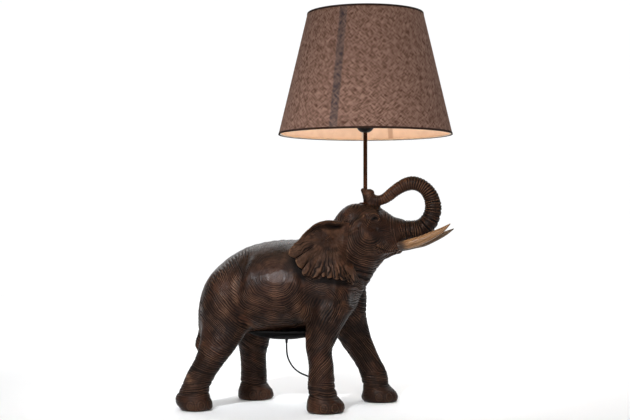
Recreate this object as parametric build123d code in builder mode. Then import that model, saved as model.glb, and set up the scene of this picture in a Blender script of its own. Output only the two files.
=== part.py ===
from build123d import *
import math
import os

# Table lamp: a standing elephant cast in resin, trunk curled back over its head,
# with a rod through the head that carries a lampholder, a bulb and a tapered shade.
# Millimetres. +Z up, +X the way the elephant faces, origin on the floor under the
# middle of the lamp.

os.makedirs("parts", exist_ok=True)

# ---------------------------------------------------------------- driving sizes
ROD_X = 89.5            # rod and shade axis, ahead of the origin
ROD_D = 7.6             # lamp tube outside diameter
ROD_BORE = 5.4
ROD_BOTTOM = 341.0
ROD_TOP = 531.0
HEAD_TOP = 384.8        # seat of the flange on the head

SHADE_R_LOW = 165.0
SHADE_R_TOP = 110.0
SHADE_Z_LOW = 515.0
SHADE_Z_TOP = 745.0
TRIM_H = 3.2
ARM_ANGLES = (98.0, 218.0, 338.0)

PAD_T = 1.5             # felt under each foot
PAN_X = -66.0           # centre of the belly opening
PAN_SEAT = 145.0        # height of the seat that the belly cover closes on
GLAND_X = -61.6

CORD_D = 3.2            # mains lead
COIL_C = (-10.0, 105.0)  # centre of the tied coil on the floor
COIL_R = 17.0           # middle of its turns
COIL_COLS = 3
COIL_ROWS = 5
PLUG_FACE = (12.0, -16.0, 6.85)
LIE = math.radians(8.0)  # the plug and the coil lie this much off the Y axis

CLEAR = 0.3             # running clearance between pieces that turn

# Trunk of the body: x, top, bottom, half width
TORSO = [
    (-232.5, 186, 144, 20), (-227.5, 211, 124, 42), (-218.5, 234, 109, 61),
    (-201.5, 258, 100, 79), (-173.5, 281, 104, 92), (-132.5, 304, 116, 100),
    (-86.5, 315, 128, 104), (-41.5, 317, 130, 102), (3.5, 322, 136, 94),
    (43.5, 326, 150, 80), (73.5, 312, 178, 62), (91.5, 288, 202, 40),
]
TORSO_HOLLOW = [
    (-200.0, 244, 152, 58), (-165.0, 272, 151, 79), (-125.0, 294, 151, 91),
    (-80.0, 305, 151, 96), (-35.0, 306, 152, 93), (5.0, 305, 160, 82),
    (36.0, 298, 188, 62),
]
# Neck and head: x, top, bottom, half width
HEAD = [
    (10.0, 338, 196, 66), (41.5, 361, 214, 60), (58.5, 378, 226, 57),
    (75.5, 384.5, 236, 54), (93.5, 385, 240, 50), (113.5, 380.5, 266, 45),
    (128.5, 373, 279, 40), (143.5, 362, 287, 34), (158.5, 354, 294, 27),
]
# Raised trunk, from the face round its loop to the tip on the rod: x, z, radius
TRUNK = [
    (142.0, 326.0, 30.0), (157.1, 332.5, 22.0), (176.8, 334.6, 17.9), (194.7, 339.5, 16.9),
    (207.8, 351.0, 15.8), (216.5, 366.6, 14.8), (218.1, 384.3, 14.0), (213.8, 399.7, 13.5),
    (204.8, 412.3, 12.8), (191.7, 420.5, 12.4), (176.5, 423.2, 12.2), (159.9, 418.3, 11.4),
    (145.7, 409.3, 10.7), (132.9, 398.6, 9.8), (122.5, 392.0, 9.3), (112.0, 389.6, 9.1),
    (101.8, 392.7, 8.9), (95.3, 400.8, 8.9), (92.7, 411.4, 10.2),
]
# Legs: z, x centre, x half, y centre, y half
LEG_NEAR_HIND = [
    (PAD_T, -219.5, 27, -80, 27), (12, -223, 34, -80, 32), (25, -225.5, 32.5, -80, 31),
    (37, -222, 28, -80, 27), (50, -217, 27, -80, 26), (70, -208, 28.5, -80, 27),
    (93, -192, 31, -80, 29), (118, -178, 39, -76, 32), (150, -170, 47, -66, 34),
    (190, -165, 50, -54, 34),
]
LEG_NEAR_FRONT = [
    (PAD_T, 26, 31, -80, 28), (9, 26, 34.5, -80, 32), (20, 24, 32, -80, 31),
    (33, 19, 25.5, -80, 27), (50, 15.5, 24, -80, 25.5), (85, 15, 23, -80, 26),
    (118, 12.5, 25, -77, 28), (150, 18, 34, -68, 30), (190, 28, 46, -54, 32),
]
LEG_FAR_HIND = [
    (PAD_T, -136, 31, 80, 28), (9, -136, 34.5, 80, 32), (20, -136.5, 33, 80, 31),
    (33, -140, 26.5, 80, 27), (50, -140.5, 26, 80, 26), (88, -142, 26.5, 80, 28),
    (112, -142, 31, 77, 31), (150, -146, 44, 66, 34), (190, -150, 50, 54, 34),
]
LEG_FAR_FRONT = [
    (PAD_T, 111, 31, 80, 28), (9, 110.5, 35, 80, 32), (21, 109, 30.5, 80, 31),
    (34, 102, 25.5, 80, 27), (50, 99, 26, 80, 26), (68, 92, 26.5, 80, 26),
    (91, 78, 28.5, 80, 28), (115, 65, 33, 77, 30), (150, 50, 40, 68, 32),
    (190, 40, 46, 54, 32),
]
FEET = [(-220, -80), (26, -80), (-136, 80), (111, 80)]
# Tusks: x, y, z, radius
TUSK_NEAR = [
    (132.0, -17, 304.0, 7.6), (145.4, -20, 303.8, 8.4), (160.6, -24, 305.2, 8.8),
    (177.6, -27, 309.8, 9.2), (195.2, -29, 315.4, 9.0), (218.5, -30, 326.8, 7.3),
    (237.0, -29, 337.6, 4.7), (250.7, -27, 347.8, 0.9),
]
TUSK_FAR = [
    (134.0, 17, 299.0, 7.6), (148.0, 20, 298.7, 8.4), (164.9, 24, 300.6, 8.9),
    (181.8, 27, 304.4, 9.1), (198.8, 29, 309.7, 8.6), (221.5, 30, 319.7, 6.8),
    (240.5, 29, 328.8, 4.3), (257.0, 27, 337.6, 0.9),
]
# Outline of an ear in x and z; it slopes out from the head to its back edge
EAR = [
    (69.2, 342.6), (58.8, 347.0), (41.4, 351.8), (27.6, 354.4), (15.6, 351.8), (3.7, 346.3),
    (-6.5, 337.1), (-15.0, 328.0), (-21.8, 318.0), (-28.5, 311.6), (-33.5, 304.4), (-35.2, 291.7),
    (-28.5, 284.3), (-23.4, 277.0), (-18.4, 267.8), (-10.8, 254.8), (3.7, 251.6), (15.6, 253.2),
    (31.1, 250.4), (40.5, 249.2), (53.5, 246.2), (64.0, 244.1), (72.7, 235.6), (81.5, 240.1),
    (78.0, 255.0), (69.2, 268.2), (64.0, 288.7), (69.2, 316.5),
]
EAR_ROOT = (63.5, 50.0)  # x and distance from the middle of the head
EAR_SLOPE = 0.62         # outwards per millimetre backwards
EAR_T = 6.5

# Route of the mains lead from the belly to the coil, and from the coil to the plug
LEAD_POINTS = [
    (GLAND_X, 0.0, 119.0), (GLAND_X, 0.0, 108.0), (-61.0, 1.8, 97.5), (-58.2, 5.0, 86.5),
    (-52.8, 9.0, 75.6), (-46.1, 14.0, 66.6), (-37.6, 20.0, 58.9), (-26.8, 29.0, 52.6),
    (-17.4, 38.8, 46.8), (-12.0, 49.5, 38.6), (-11.6, 60.5, 29.6), (-14.4, 71.0, 23.0),
    (-18.4, 80.8, 19.4), (-21.2, 89.0, 17.6),
]
TAIL = [  # beside the plug's axis, along it from the end of its sleeve, height
    (15.25, 62.0, 1.6), (15.25, 52.0, 1.6), (13.6, 41.5, 2.0), (8.8, 31.0, 3.4), (3.4, 21.0, 5.4),
    (0.0, 10.5, 6.85), (0.0, 0.0, 6.85),
]


def between(table, steps=2):
    """The rows of a table with rows added between them on a smooth curve."""
    out = []
    for i in range(len(table) - 1):
        p = [table[max(i - 1, 0)], table[i], table[i + 1], table[min(i + 2, len(table) - 1)]]
        for k in range(steps):
            t = k / steps
            out.append(tuple(
                0.5 * (2 * b + (c - a) * t + (2 * a - 5 * b + 4 * c - d) * t * t + (3 * b - a - 3 * c + d) * t ** 3)
                for a, b, c, d in zip(*p)
            ))
    return out + [tuple(float(v) for v in table[-1])]


def unit(v):
    n = math.sqrt(sum(a * a for a in v))
    return tuple(a / n for a in v)


def bend_radii(points):
    """A radius for each corner of a route: as large as its two runs allow."""
    out = []
    for a, b, c in zip(points, points[1:], points[2:]):
        u = Vector(*b) - Vector(*a)
        w = Vector(*c) - Vector(*b)
        half = math.radians(u.get_angle(w)) / 2
        out.append(0.45 * min(u.length, w.length) / math.tan(half))
    return out


def shade_r(z):
    """Outside radius of the shade at a height."""
    return SHADE_R_LOW + (SHADE_R_TOP - SHADE_R_LOW) * (z - SHADE_Z_LOW) / (SHADE_Z_TOP - SHADE_Z_LOW)


def along(p, q=0.0, z=0.0, start=PLUG_FACE):
    """A point beside the plug's face: p to its right, q along it towards the cord."""
    return (
        start[0] + p * math.cos(LIE) - q * math.sin(LIE),
        start[1] + p * math.sin(LIE) + q * math.cos(LIE),
        start[2] + z,
    )


def finish(part, name):
    part.part.label = name
    export_step(part.part, f"parts/{name}.step")


def finish_one(part, name):
    """Keep the largest solid of a piece that has been trimmed to its neighbour."""
    body = part.part.solids().sort_by(SortBy.VOLUME)[-1]
    body.label = name
    export_step(body, f"parts/{name}.step")


# ---------------------------------------------------------------- the casting
with BuildPart() as elephant_body:
    # barrel of the body, then neck and head
    for x, top, low, half in between(TORSO):
        with BuildSketch(Plane(origin=(x, 0, (top + low) / 2), x_dir=(0, 1, 0), z_dir=(1, 0, 0))):
            Ellipse(half, (top - low) / 2)
    loft(ruled=True)
    for x, top, low, half in between(HEAD):
        with BuildSketch(Plane(origin=(x, 0, (top + low) / 2), x_dir=(0, 1, 0), z_dir=(1, 0, 0))):
            Ellipse(half, (top - low) / 2)
    loft(ruled=True)
    # legs
    for leg in (LEG_NEAR_HIND, LEG_NEAR_FRONT, LEG_FAR_HIND, LEG_FAR_FRONT):
        for z, cx, hx, cy, hy in between(leg):
            with BuildSketch(Plane.XY.offset(z)):
                with Locations((cx, cy)):
                    Ellipse(hx, hy)
        loft(ruled=True)
    # trunk, round its loop to the tip, which stands a little to the near side of the rod
    rows = between(TRUNK)
    for i, (x, z, r) in enumerate(rows):
        a = rows[max(i - 1, 0)]
        b = rows[min(i + 1, len(rows) - 1)]
        y = -0.6 * max(i - 27, 0)
        with BuildSketch(Plane(origin=(x, y, z), x_dir=(0, 1, 0), z_dir=unit((b[0] - a[0], 0, b[1] - a[1])))):
            Circle(r)
    loft(ruled=True)
    # tail lying down the rump, with its tuft
    for z, x, r in ((205, -224, 3.5), (170, -233.5, 5.0), (135, -236.5, 4.5), (121, -237.5, 6.0),
                    (110, -236.5, 6.5), (101, -234.0, 3.0)):
        with BuildSketch(Plane.XY.offset(z)):
            with Locations((x, 0)):
                Circle(r)
    loft(ruled=True)
    # hollow of the body
    for x, top, low, half in between(TORSO_HOLLOW):
        with BuildSketch(Plane(origin=(x, 0, (top + low) / 2), x_dir=(0, 1, 0), z_dir=(1, 0, 0))):
            Ellipse(half, (top - low) / 2)
    loft(ruled=True, mode=Mode.SUBTRACT)
    # hollow of the neck, up to the flat seat under the crown
    with BuildSketch(Plane(origin=(20, 0, 244), x_dir=(0, 1, 0), z_dir=unit((0.72, 0, 0.69)))):
        Ellipse(34, 30)
    with BuildSketch(Plane(origin=(62, 0, 284), x_dir=(0, 1, 0), z_dir=unit((0.72, 0, 0.69)))):
        Ellipse(30, 30)
    with BuildSketch(Plane(origin=(88, 0, 309), x_dir=(0, 1, 0), z_dir=unit((0.72, 0, 0.69)))):
        Ellipse(28, 27)
    loft(ruled=True, mode=Mode.SUBTRACT)
    with BuildSketch(Plane.XY.offset(300)):
        with Locations((ROD_X, 0)):
            Circle(19)
    extrude(amount=60, mode=Mode.SUBTRACT)
    # rod hole, which also leaves a groove behind the tip of the trunk
    with BuildSketch(Plane.XY.offset(350)):
        with Locations((ROD_X, 0)):
            Circle(ROD_D / 2 + 0.3)
    extrude(amount=80, mode=Mode.SUBTRACT)
    # flat seat on the crown for the flange
    with BuildSketch(Plane.XY.offset(HEAD_TOP)):
        with Locations((ROD_X, 0)):
            Circle(11.7)
    extrude(amount=3.4, mode=Mode.SUBTRACT)
    # pocket for the belly cover, and the opening inside it
    with BuildSketch(Plane.XY.offset(PAN_SEAT)):
        with Locations((PAN_X, 0)):
            Ellipse(80, 57)
    extrude(amount=-60, mode=Mode.SUBTRACT)
    with BuildSketch(Plane.XY.offset(PAN_SEAT - 1)):
        with Locations((PAN_X, 0)):
            Ellipse(66, 43)
    extrude(amount=24, mode=Mode.SUBTRACT)
    # pilot holes for the cover's screws
    with BuildSketch(Plane.XY.offset(PAN_SEAT - 1)):
        with Locations(*[(PAN_X + sx * 61.8, sy * 30.4) for sx in (-1, 1) for sy in (-1, 1)]):
            Circle(1.5)
    extrude(amount=10, mode=Mode.SUBTRACT)
    # hollows of the legs
    for leg in (LEG_NEAR_HIND, LEG_NEAR_FRONT, LEG_FAR_HIND, LEG_FAR_FRONT):
        for z, cx, hx, cy, hy in between(leg):
            if 32 < z < 130:
                with BuildSketch(Plane.XY.offset(z)):
                    with Locations((cx, cy)):
                        Ellipse(hx - 9, hy - 9)
        loft(ruled=True, mode=Mode.SUBTRACT)
finish(elephant_body, "elephant_body")

# ---------------------------------------------------------------- ears and tusks
EAR_AXIS = unit((-1.0, -EAR_SLOPE, 0))
EAR_LEN = math.sqrt(1 + EAR_SLOPE ** 2)

with BuildPart() as ear_right:
    with BuildSketch(Plane(origin=(EAR_ROOT[0], -EAR_ROOT[1], 0), x_dir=EAR_AXIS, z_dir=unit((-EAR_SLOPE, 1, 0)))):
        with BuildLine():
            Polyline(*[((EAR_ROOT[0] - x) * EAR_LEN, z) for x, z in EAR], close=True)
        make_face()
        fillet(vertices(), 2.0)
    extrude(amount=EAR_T / 2, both=True)
    add(elephant_body.part, mode=Mode.SUBTRACT)
finish_one(ear_right, "ear_right")

with BuildPart() as ear_left:
    with BuildSketch(Plane(origin=(EAR_ROOT[0], EAR_ROOT[1], 0), x_dir=unit((-1.0, EAR_SLOPE, 0)), z_dir=unit((EAR_SLOPE, 1, 0)))):
        with BuildLine():
            Polyline(*[((EAR_ROOT[0] - x) * EAR_LEN, z) for x, z in EAR], close=True)
        make_face()
        fillet(vertices(), 2.0)
    extrude(amount=EAR_T / 2, both=True)
    add(elephant_body.part, mode=Mode.SUBTRACT)
finish_one(ear_left, "ear_left")

for name, table in (("tusk_right", TUSK_NEAR), ("tusk_left", TUSK_FAR)):
    with BuildPart() as tusk:
        for i, (x, y, z, r) in enumerate(table):
            a = table[max(i - 1, 0)]
            b = table[min(i + 1, len(table) - 1)]
            t = unit(tuple(b[k] - a[k] for k in range(3)))
            with BuildSketch(Plane(origin=(x, y, z), x_dir=unit(tuple(Vector(*t).cross(Vector(0, 0, 1)))), z_dir=t)):
                Circle(r)
        loft()
    finish(tusk, name)

# ---------------------------------------------------------------- under the body
with BuildPart() as belly_cover:
    with BuildSketch(Plane.XY.offset(PAN_SEAT - 3)):
        with Locations((PAN_X, 0)):
            Ellipse(79.4, 56.4)
    extrude(amount=3)
    for z, a, b in ((142.0, 72, 50), (136.5, 63, 44), (131.0, 46, 32), (127.5, 26, 18)):
        with BuildSketch(Plane.XY.offset(z)):
            with Locations((PAN_X, 0)):
                Ellipse(a, b)
    loft()
    # dished inside
    for z, a, b in ((PAN_SEAT + 1, 69.5, 47.5), (138.5, 62, 43), (133.5, 44, 30), (130.2, 24, 16)):
        with BuildSketch(Plane.XY.offset(z)):
            with Locations((PAN_X, 0)):
                Ellipse(a, b)
    loft(mode=Mode.SUBTRACT)
    # rib that the lead is clamped on
    with BuildSketch(Plane.XY.offset(130.0)):
        with Locations((-36.0, 0)):
            Rectangle(9, 30)
    extrude(amount=22)
    with BuildSketch(Plane(origin=(-42, 0, 152), x_dir=(0, 1, 0), z_dir=(1, 0, 0))):
        Circle(CORD_D / 2)
    extrude(amount=12, mode=Mode.SUBTRACT)
    # hole for the gland, screw holes in the rim, and two in the rib
    with BuildSketch(Plane.XY.offset(120)):
        with Locations((GLAND_X, 0)):
            Circle(3.4)
    extrude(amount=14, mode=Mode.SUBTRACT)
    with BuildSketch(Plane.XY.offset(138)):
        with Locations(*[(PAN_X + sx * 61.8, sy * 30.4) for sx in (-1, 1) for sy in (-1, 1)]):
            Circle(1.8)
    extrude(amount=10, mode=Mode.SUBTRACT)
    with BuildSketch(Plane.XY.offset(142)):
        with Locations((-36, -10), (-36, 10)):
            Circle(1.3)
    extrude(amount=12, mode=Mode.SUBTRACT)
finish(belly_cover, "belly_cover")

with BuildPart() as cover_screws:
    for sx in (-1, 1):
        for sy in (-1, 1):
            with BuildSketch(Plane.XY.offset(139.6)):
                with Locations((PAN_X + sx * 61.8, sy * 30.4)):
                    Circle(3.0)
            extrude(amount=2.4)
            with BuildSketch(Plane.XY.offset(142)):
                with Locations((PAN_X + sx * 61.8, sy * 30.4)):
                    Circle(1.5)
            extrude(amount=11)
            with BuildSketch(Plane.XY.offset(139.6)):
                with Locations((PAN_X + sx * 61.8, sy * 30.4)):
                    Rectangle(3.4, 0.8)
                    Rectangle(0.8, 3.4)
            extrude(amount=1.1, mode=Mode.SUBTRACT)
finish(cover_screws, "cover_screws")

with BuildPart() as cord_gland:
    with BuildSketch(Plane.XZ):
        with BuildLine():
            Polyline(
                (GLAND_X + CORD_D / 2, 119), (GLAND_X + 2.1, 119), (GLAND_X + 3.0, 127), (GLAND_X + 3.35, 127.2),
                (GLAND_X + 3.35, 130.4), (GLAND_X + 6.5, 130.4), (GLAND_X + 6.5, 133.4),
                (GLAND_X + 3.2, 134.4), (GLAND_X + 2.6, 139), (GLAND_X + CORD_D / 2, 139), close=True,
            )
        make_face()
    revolve(axis=Axis((GLAND_X, 0, 0), (0, 0, 1)))
finish(cord_gland, "cord_gland")

with BuildPart() as cord_clamp:
    with BuildSketch(Plane.XY.offset(152.2)):
        with Locations((-36, 0)):
            Rectangle(9, 30)
    extrude(amount=5)
    with BuildSketch(Plane(origin=(-42, 0, 152), x_dir=(0, 1, 0), z_dir=(1, 0, 0))):
        Circle(CORD_D / 2)
    extrude(amount=12, mode=Mode.SUBTRACT)
    with BuildSketch(Plane.XY.offset(151)):
        with Locations((-36, -10), (-36, 10)):
            Circle(1.7)
    extrude(amount=8, mode=Mode.SUBTRACT)
    chamfer(edges().filter_by(Axis.X).group_by(Axis.Z)[-1], 1.0)
finish(cord_clamp, "cord_clamp")

with BuildPart() as clamp_screws:
    for y in (-10, 10):
        with BuildSketch(Plane.XY.offset(143)):
            with Locations((-36, y)):
                Circle(1.3)
        extrude(amount=14.2)
        with BuildSketch(Plane.XY.offset(157.2)):
            with Locations((-36, y)):
                Circle(2.8)
        extrude(amount=2.2)
        with BuildSketch(Plane.XY.offset(158.2)):
            with Locations((-36, y)):
                Rectangle(3.2, 0.7)
        extrude(amount=2, mode=Mode.SUBTRACT)
finish(clamp_screws, "clamp_screws")

with BuildPart() as foot_pads:
    for x, y in FEET:
        with BuildSketch(Plane.XY):
            with Locations((x, y)):
                Ellipse(24, 23)
        extrude(amount=PAD_T)
finish(foot_pads, "foot_pads")

# ---------------------------------------------------------------- rod and its fixing
with BuildPart() as rod:
    with BuildSketch(Plane.XY.offset(ROD_BOTTOM)):
        with Locations((ROD_X, 0)):
            Circle(ROD_D / 2)
            Circle(ROD_BORE / 2, mode=Mode.SUBTRACT)
    extrude(amount=ROD_TOP - ROD_BOTTOM)
finish(rod, "rod")

with BuildPart() as rod_flange:
    with BuildSketch(Plane.XZ):
        with BuildLine():
            Polyline(
                (ROD_X + 3.9, HEAD_TOP), (ROD_X + 11.4, HEAD_TOP), (ROD_X + 11.4, HEAD_TOP + 1.4), (ROD_X + 10.6, HEAD_TOP + 2.2),
                (ROD_X + 5.6, HEAD_TOP + 2.6), (ROD_X + 3.9, HEAD_TOP + 2.6), close=True,
            )
        make_face()
    revolve(axis=Axis((ROD_X, 0, 0), (0, 0, 1)))
finish(rod_flange, "rod_flange")

with BuildPart() as rod_washer:
    with BuildSketch(Plane.XY.offset(357.9)):
        with Locations((ROD_X, 0)):
            Circle(14)
            Circle(ROD_D / 2 + 0.2, mode=Mode.SUBTRACT)
    extrude(amount=2.0)
finish(rod_washer, "rod_washer")

with BuildPart() as rod_nut:
    with BuildSketch(Plane.XY.offset(351.5)):
        with Locations((ROD_X, 0)):
            RegularPolygon(7.0, 6)
            Circle(ROD_D / 2, mode=Mode.SUBTRACT)
    extrude(amount=6.3)
finish(rod_nut, "rod_nut")

# ---------------------------------------------------------------- lampholder
def ring_of(profile):
    """A ring about the rod's axis from a closed profile in radius and height."""
    with BuildPart() as ring:
        with BuildSketch(Plane.XZ):
            with BuildLine():
                Polyline(*[(ROD_X + r, z) for r, z in profile], close=True)
            make_face()
        revolve(axis=Axis((ROD_X, 0, 0), (0, 0, 1)))
    return ring


SPINDLE_Z = 543.0
with BuildPart() as holder_cap:
    with BuildSketch(Plane.XZ):
        with BuildLine():
            a = Polyline((ROD_X + ROD_D / 2, 531), (ROD_X + ROD_D / 2, 519.6), (ROD_X + 6.0, 519.8))
            b = Spline((ROD_X + 6.0, 519.8), (ROD_X + 12.2, 523.2), (ROD_X + 16.8, 530.0), (ROD_X + 19.6, 539.0))
            c = Polyline(
                (ROD_X + 19.6, 539.0), (ROD_X + 19.8, 550.0), (ROD_X + 17.7, 550.0), (ROD_X + 17.7, 539.5),
                (ROD_X + 14.8, 531.5), (ROD_X + 10.6, 525.6), (ROD_X + 7.0, 523.6), (ROD_X + 7.0, 531), (ROD_X + ROD_D / 2, 531),
            )
        make_face()
    revolve(axis=Axis((ROD_X, 0, 0), (0, 0, 1)))
    with BuildSketch(Plane(origin=(ROD_X + 12, 0, SPINDLE_Z), x_dir=(0, 1, 0), z_dir=(1, 0, 0))):
        Circle(3.2)
    extrude(amount=12, mode=Mode.SUBTRACT)
finish(holder_cap, "holder_cap")

thread = []
for k in range(9):
    z = 554.0 + 3.2 * k
    thread += [(19.2, z), (19.6, z + 0.8), (19.6, z + 1.7), (19.2, z + 2.5)]
holder_skirt = ring_of(
    [(15.4, 546.2), (17.65, 546.2), (17.65, 550.1), (21.4, 550.1), (21.4, 552.6), (19.2, 552.6)]
    + thread
    + [(19.2, 583.4), (17.4, 584.4), (17.0, 584.4), (17.0, 551.0), (15.4, 551.0)]
)
finish(holder_skirt, "holder_skirt")

with BuildPart() as holder_core:
    with BuildSketch(Plane.XY.offset(536.4)):
        with Locations((ROD_X, 0)):
            Circle(14.6)
    extrude(amount=12.4)
    with BuildSketch(Plane(origin=(ROD_X + 4, 0, SPINDLE_Z), x_dir=(0, 1, 0), z_dir=(1, 0, 0))):
        Circle(2.8)
    extrude(amount=14, mode=Mode.SUBTRACT)
    with BuildSketch(Plane.XY.offset(536)):
        with Locations((ROD_X - 8, -5), (ROD_X - 8, 5)):
            Circle(1.6)
    extrude(amount=6, mode=Mode.SUBTRACT)
finish(holder_core, "holder_core")

with BuildPart() as terminal_screws:
    for y in (-5, 5):
        with BuildSketch(Plane.XY.offset(536.0)):
            with Locations((ROD_X - 8, y)):
                Circle(2.4)
        extrude(amount=-1.6)
        with BuildSketch(Plane.XY.offset(536.0)):
            with Locations((ROD_X - 8, y)):
                Circle(1.5)
        extrude(amount=5.5)
        with BuildSketch(Plane.XY.offset(534.4)):
            with Locations((ROD_X - 8, y)):
                Rectangle(3.0, 0.6)
        extrude(amount=0.8, mode=Mode.SUBTRACT)
finish(terminal_screws, "terminal_screws")

shell = [(14.0, 548.9)]
for k in range(6):
    z = 550.0 + 3.6 * k
    shell += [(14.0, z), (14.4, z + 1.8)]
shell += [(14.0, 572.0), (13.6, 572.0)]
for k in reversed(range(6)):
    z = 550.0 + 3.6 * k
    shell += [(14.0, z + 1.8), (13.6, z)]
shell += [(13.6, 549.3), (6.0, 549.3), (6.0, 548.9)]
holder_shell = ring_of(shell)
finish(holder_shell, "holder_shell")

with BuildPart() as holder_contact:
    with BuildSketch(Plane.XY.offset(548.8)):
        with Locations((ROD_X, 0)):
            Rectangle(9, 3.6)
    extrude(amount=0.5)
    with BuildSketch(Plane.XY.offset(549.3)):
        with Locations((ROD_X, 0)):
            Circle(1.7)
    extrude(amount=0.7)
finish(holder_contact, "holder_contact")

with BuildPart() as switch_spindle:
    with BuildSketch(Plane(origin=(ROD_X + 5, 0, SPINDLE_Z), x_dir=(0, 1, 0), z_dir=(1, 0, 0))):
        Circle(2.5)
    extrude(amount=19)
finish(switch_spindle, "switch_spindle")

with BuildPart() as switch_knob:
    with BuildSketch(Plane(origin=(ROD_X + 21.6, 0, SPINDLE_Z), x_dir=(0, 1, 0), z_dir=(1, 0, 0))):
        Circle(6.4)
    extrude(amount=11)
    with BuildSketch(Plane(origin=(ROD_X + 21.6, 0, SPINDLE_Z), x_dir=(0, 1, 0), z_dir=(1, 0, 0))):
        with PolarLocations(6.9, 12):
            Circle(1.1)
    extrude(amount=11, mode=Mode.SUBTRACT)
    with BuildSketch(Plane(origin=(ROD_X + 21.6, 0, SPINDLE_Z), x_dir=(0, 1, 0), z_dir=(1, 0, 0))):
        Circle(2.5)
    extrude(amount=2.4, mode=Mode.SUBTRACT)
finish(switch_knob, "switch_knob")

shade_ring_lower = ring_of([(19.8, 556.6), (24.4, 556.6), (24.8, 557.2), (24.8, 559.6), (24.4, 560.0), (19.8, 560.0)])
finish(shade_ring_lower, "shade_ring_lower")

with BuildPart() as shade_ring_nut:
    with BuildSketch(Plane.XY.offset(563.8)):
        with Locations((ROD_X, 0)):
            Circle(25.0)
            Circle(19.6 + CLEAR, mode=Mode.SUBTRACT)
            with PolarLocations(25.4, 24):
                Circle(1.0, mode=Mode.SUBTRACT)
    extrude(amount=6.0)
finish(shade_ring_nut, "shade_ring_nut")

# ---------------------------------------------------------------- shade
def cone_wall(outer, inner, z0, z1):
    """Profile of a wall that follows the shade's slope, from offsets inwards."""
    return [(shade_r(z0) - outer, z0), (shade_r(z1) - outer, z1), (shade_r(z1) - inner, z1), (shade_r(z0) - inner, z0)]


shade_fabric = ring_of(cone_wall(0.5, 1.4, SHADE_Z_LOW + 0.4, SHADE_Z_TOP - 0.4))
finish(shade_fabric, "shade_fabric")
shade_lining = ring_of(cone_wall(1.4, 2.1, SHADE_Z_LOW + 0.4, SHADE_Z_TOP - 0.4))
finish(shade_lining, "shade_lining")
trim_bottom = ring_of(
    [(shade_r(SHADE_Z_LOW), SHADE_Z_LOW), (shade_r(SHADE_Z_LOW + TRIM_H), SHADE_Z_LOW + TRIM_H),
     (shade_r(SHADE_Z_LOW + TRIM_H) - 0.5, SHADE_Z_LOW + TRIM_H), (shade_r(SHADE_Z_LOW + 0.4) - 0.5, SHADE_Z_LOW + 0.4),
     (shade_r(SHADE_Z_LOW + 0.4) - 2.1, SHADE_Z_LOW + 0.4), (shade_r(SHADE_Z_LOW) - 2.1, SHADE_Z_LOW)]
)
finish(trim_bottom, "trim_bottom")
trim_top = ring_of(
    [(shade_r(SHADE_Z_TOP), SHADE_Z_TOP), (shade_r(SHADE_Z_TOP - TRIM_H), SHADE_Z_TOP - TRIM_H),
     (shade_r(SHADE_Z_TOP - TRIM_H) - 0.5, SHADE_Z_TOP - TRIM_H), (shade_r(SHADE_Z_TOP - 0.4) - 0.5, SHADE_Z_TOP - 0.4),
     (shade_r(SHADE_Z_TOP - 0.4) - 2.1, SHADE_Z_TOP - 0.4), (shade_r(SHADE_Z_TOP) - 2.1, SHADE_Z_TOP)]
)
finish(trim_top, "trim_top")

WIRE = 1.4
with BuildPart() as shade_top_wire:
    with BuildSketch(Plane.XZ):
        with Locations((ROD_X + shade_r(SHADE_Z_TOP - 2.4) - 2.2 - 1.06 * WIRE, SHADE_Z_TOP - 2.4)):
            Circle(WIRE)
    revolve(axis=Axis((ROD_X, 0, 0), (0, 0, 1)))
finish(shade_top_wire, "shade_top_wire")

LOW_WIRE_R = shade_r(SHADE_Z_LOW + 2.4) - 2.2 - 1.06 * WIRE
with BuildPart() as shade_low_wire:
    with BuildSketch(Plane.XZ):
        with Locations((ROD_X + LOW_WIRE_R, SHADE_Z_LOW + 2.4)):
            Circle(WIRE)
    revolve(axis=Axis((ROD_X, 0, 0), (0, 0, 1)))
finish(shade_low_wire, "shade_low_wire")

with BuildPart() as shade_spider:
    with BuildSketch(Plane.XY.offset(560.4)):
        with Locations((ROD_X, 0)):
            Circle(24.6)
            Circle(20.2, mode=Mode.SUBTRACT)
    extrude(amount=3.0)
    for angle in ARM_ANGLES:
        ca, sa = math.cos(math.radians(angle)), math.sin(math.radians(angle))
        start = (ROD_X + 23.0 * ca, 23.0 * sa, 562.3)
        end = (ROD_X + LOW_WIRE_R * ca, LOW_WIRE_R * sa, SHADE_Z_LOW + 2.4)
        with BuildSketch(Plane(origin=start, z_dir=unit(tuple(end[k] - start[k] for k in range(3))))):
            Circle(1.3)
        extrude(amount=math.dist(start, end))
    # the arms are welded on to the inside of the lower wire
    add(shade_low_wire.part, mode=Mode.SUBTRACT)
finish_one(shade_spider, "shade_spider")

# ---------------------------------------------------------------- bulb
with BuildPart() as bulb_glass:
    with BuildSketch(Plane.XZ):
        with BuildLine():
            Spline(
                (ROD_X + 12.4, 577.0), (ROD_X + 14.0, 584.0), (ROD_X + 18.6, 596.0), (ROD_X + 26.2, 611.0),
                (ROD_X + 29.8, 626.0), (ROD_X + 26.0, 643.0), (ROD_X + 14.0, 654.8), (ROD_X, 658.0),
                tangents=((0, 1), (-1, 0)),
            )
            Polyline((ROD_X, 658.0), (ROD_X, 577.0), (ROD_X + 12.4, 577.0))
        make_face()
    revolve(axis=Axis((ROD_X, 0, 0), (0, 0, 1)))
    with BuildSketch(Plane.XZ):
        with BuildLine():
            Spline(
                (ROD_X + 11.4, 578.0), (ROD_X + 13.0, 584.2), (ROD_X + 17.7, 596.4), (ROD_X + 25.3, 611.2),
                (ROD_X + 28.8, 626.0), (ROD_X + 25.2, 642.4), (ROD_X + 13.6, 653.8), (ROD_X, 657.0),
                tangents=((0, 1), (-1, 0)),
            )
            Polyline((ROD_X, 657.0), (ROD_X, 578.0), (ROD_X + 11.4, 578.0))
        make_face()
    revolve(axis=Axis((ROD_X, 0, 0), (0, 0, 1)), mode=Mode.SUBTRACT)
finish(bulb_glass, "bulb_glass")

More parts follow.
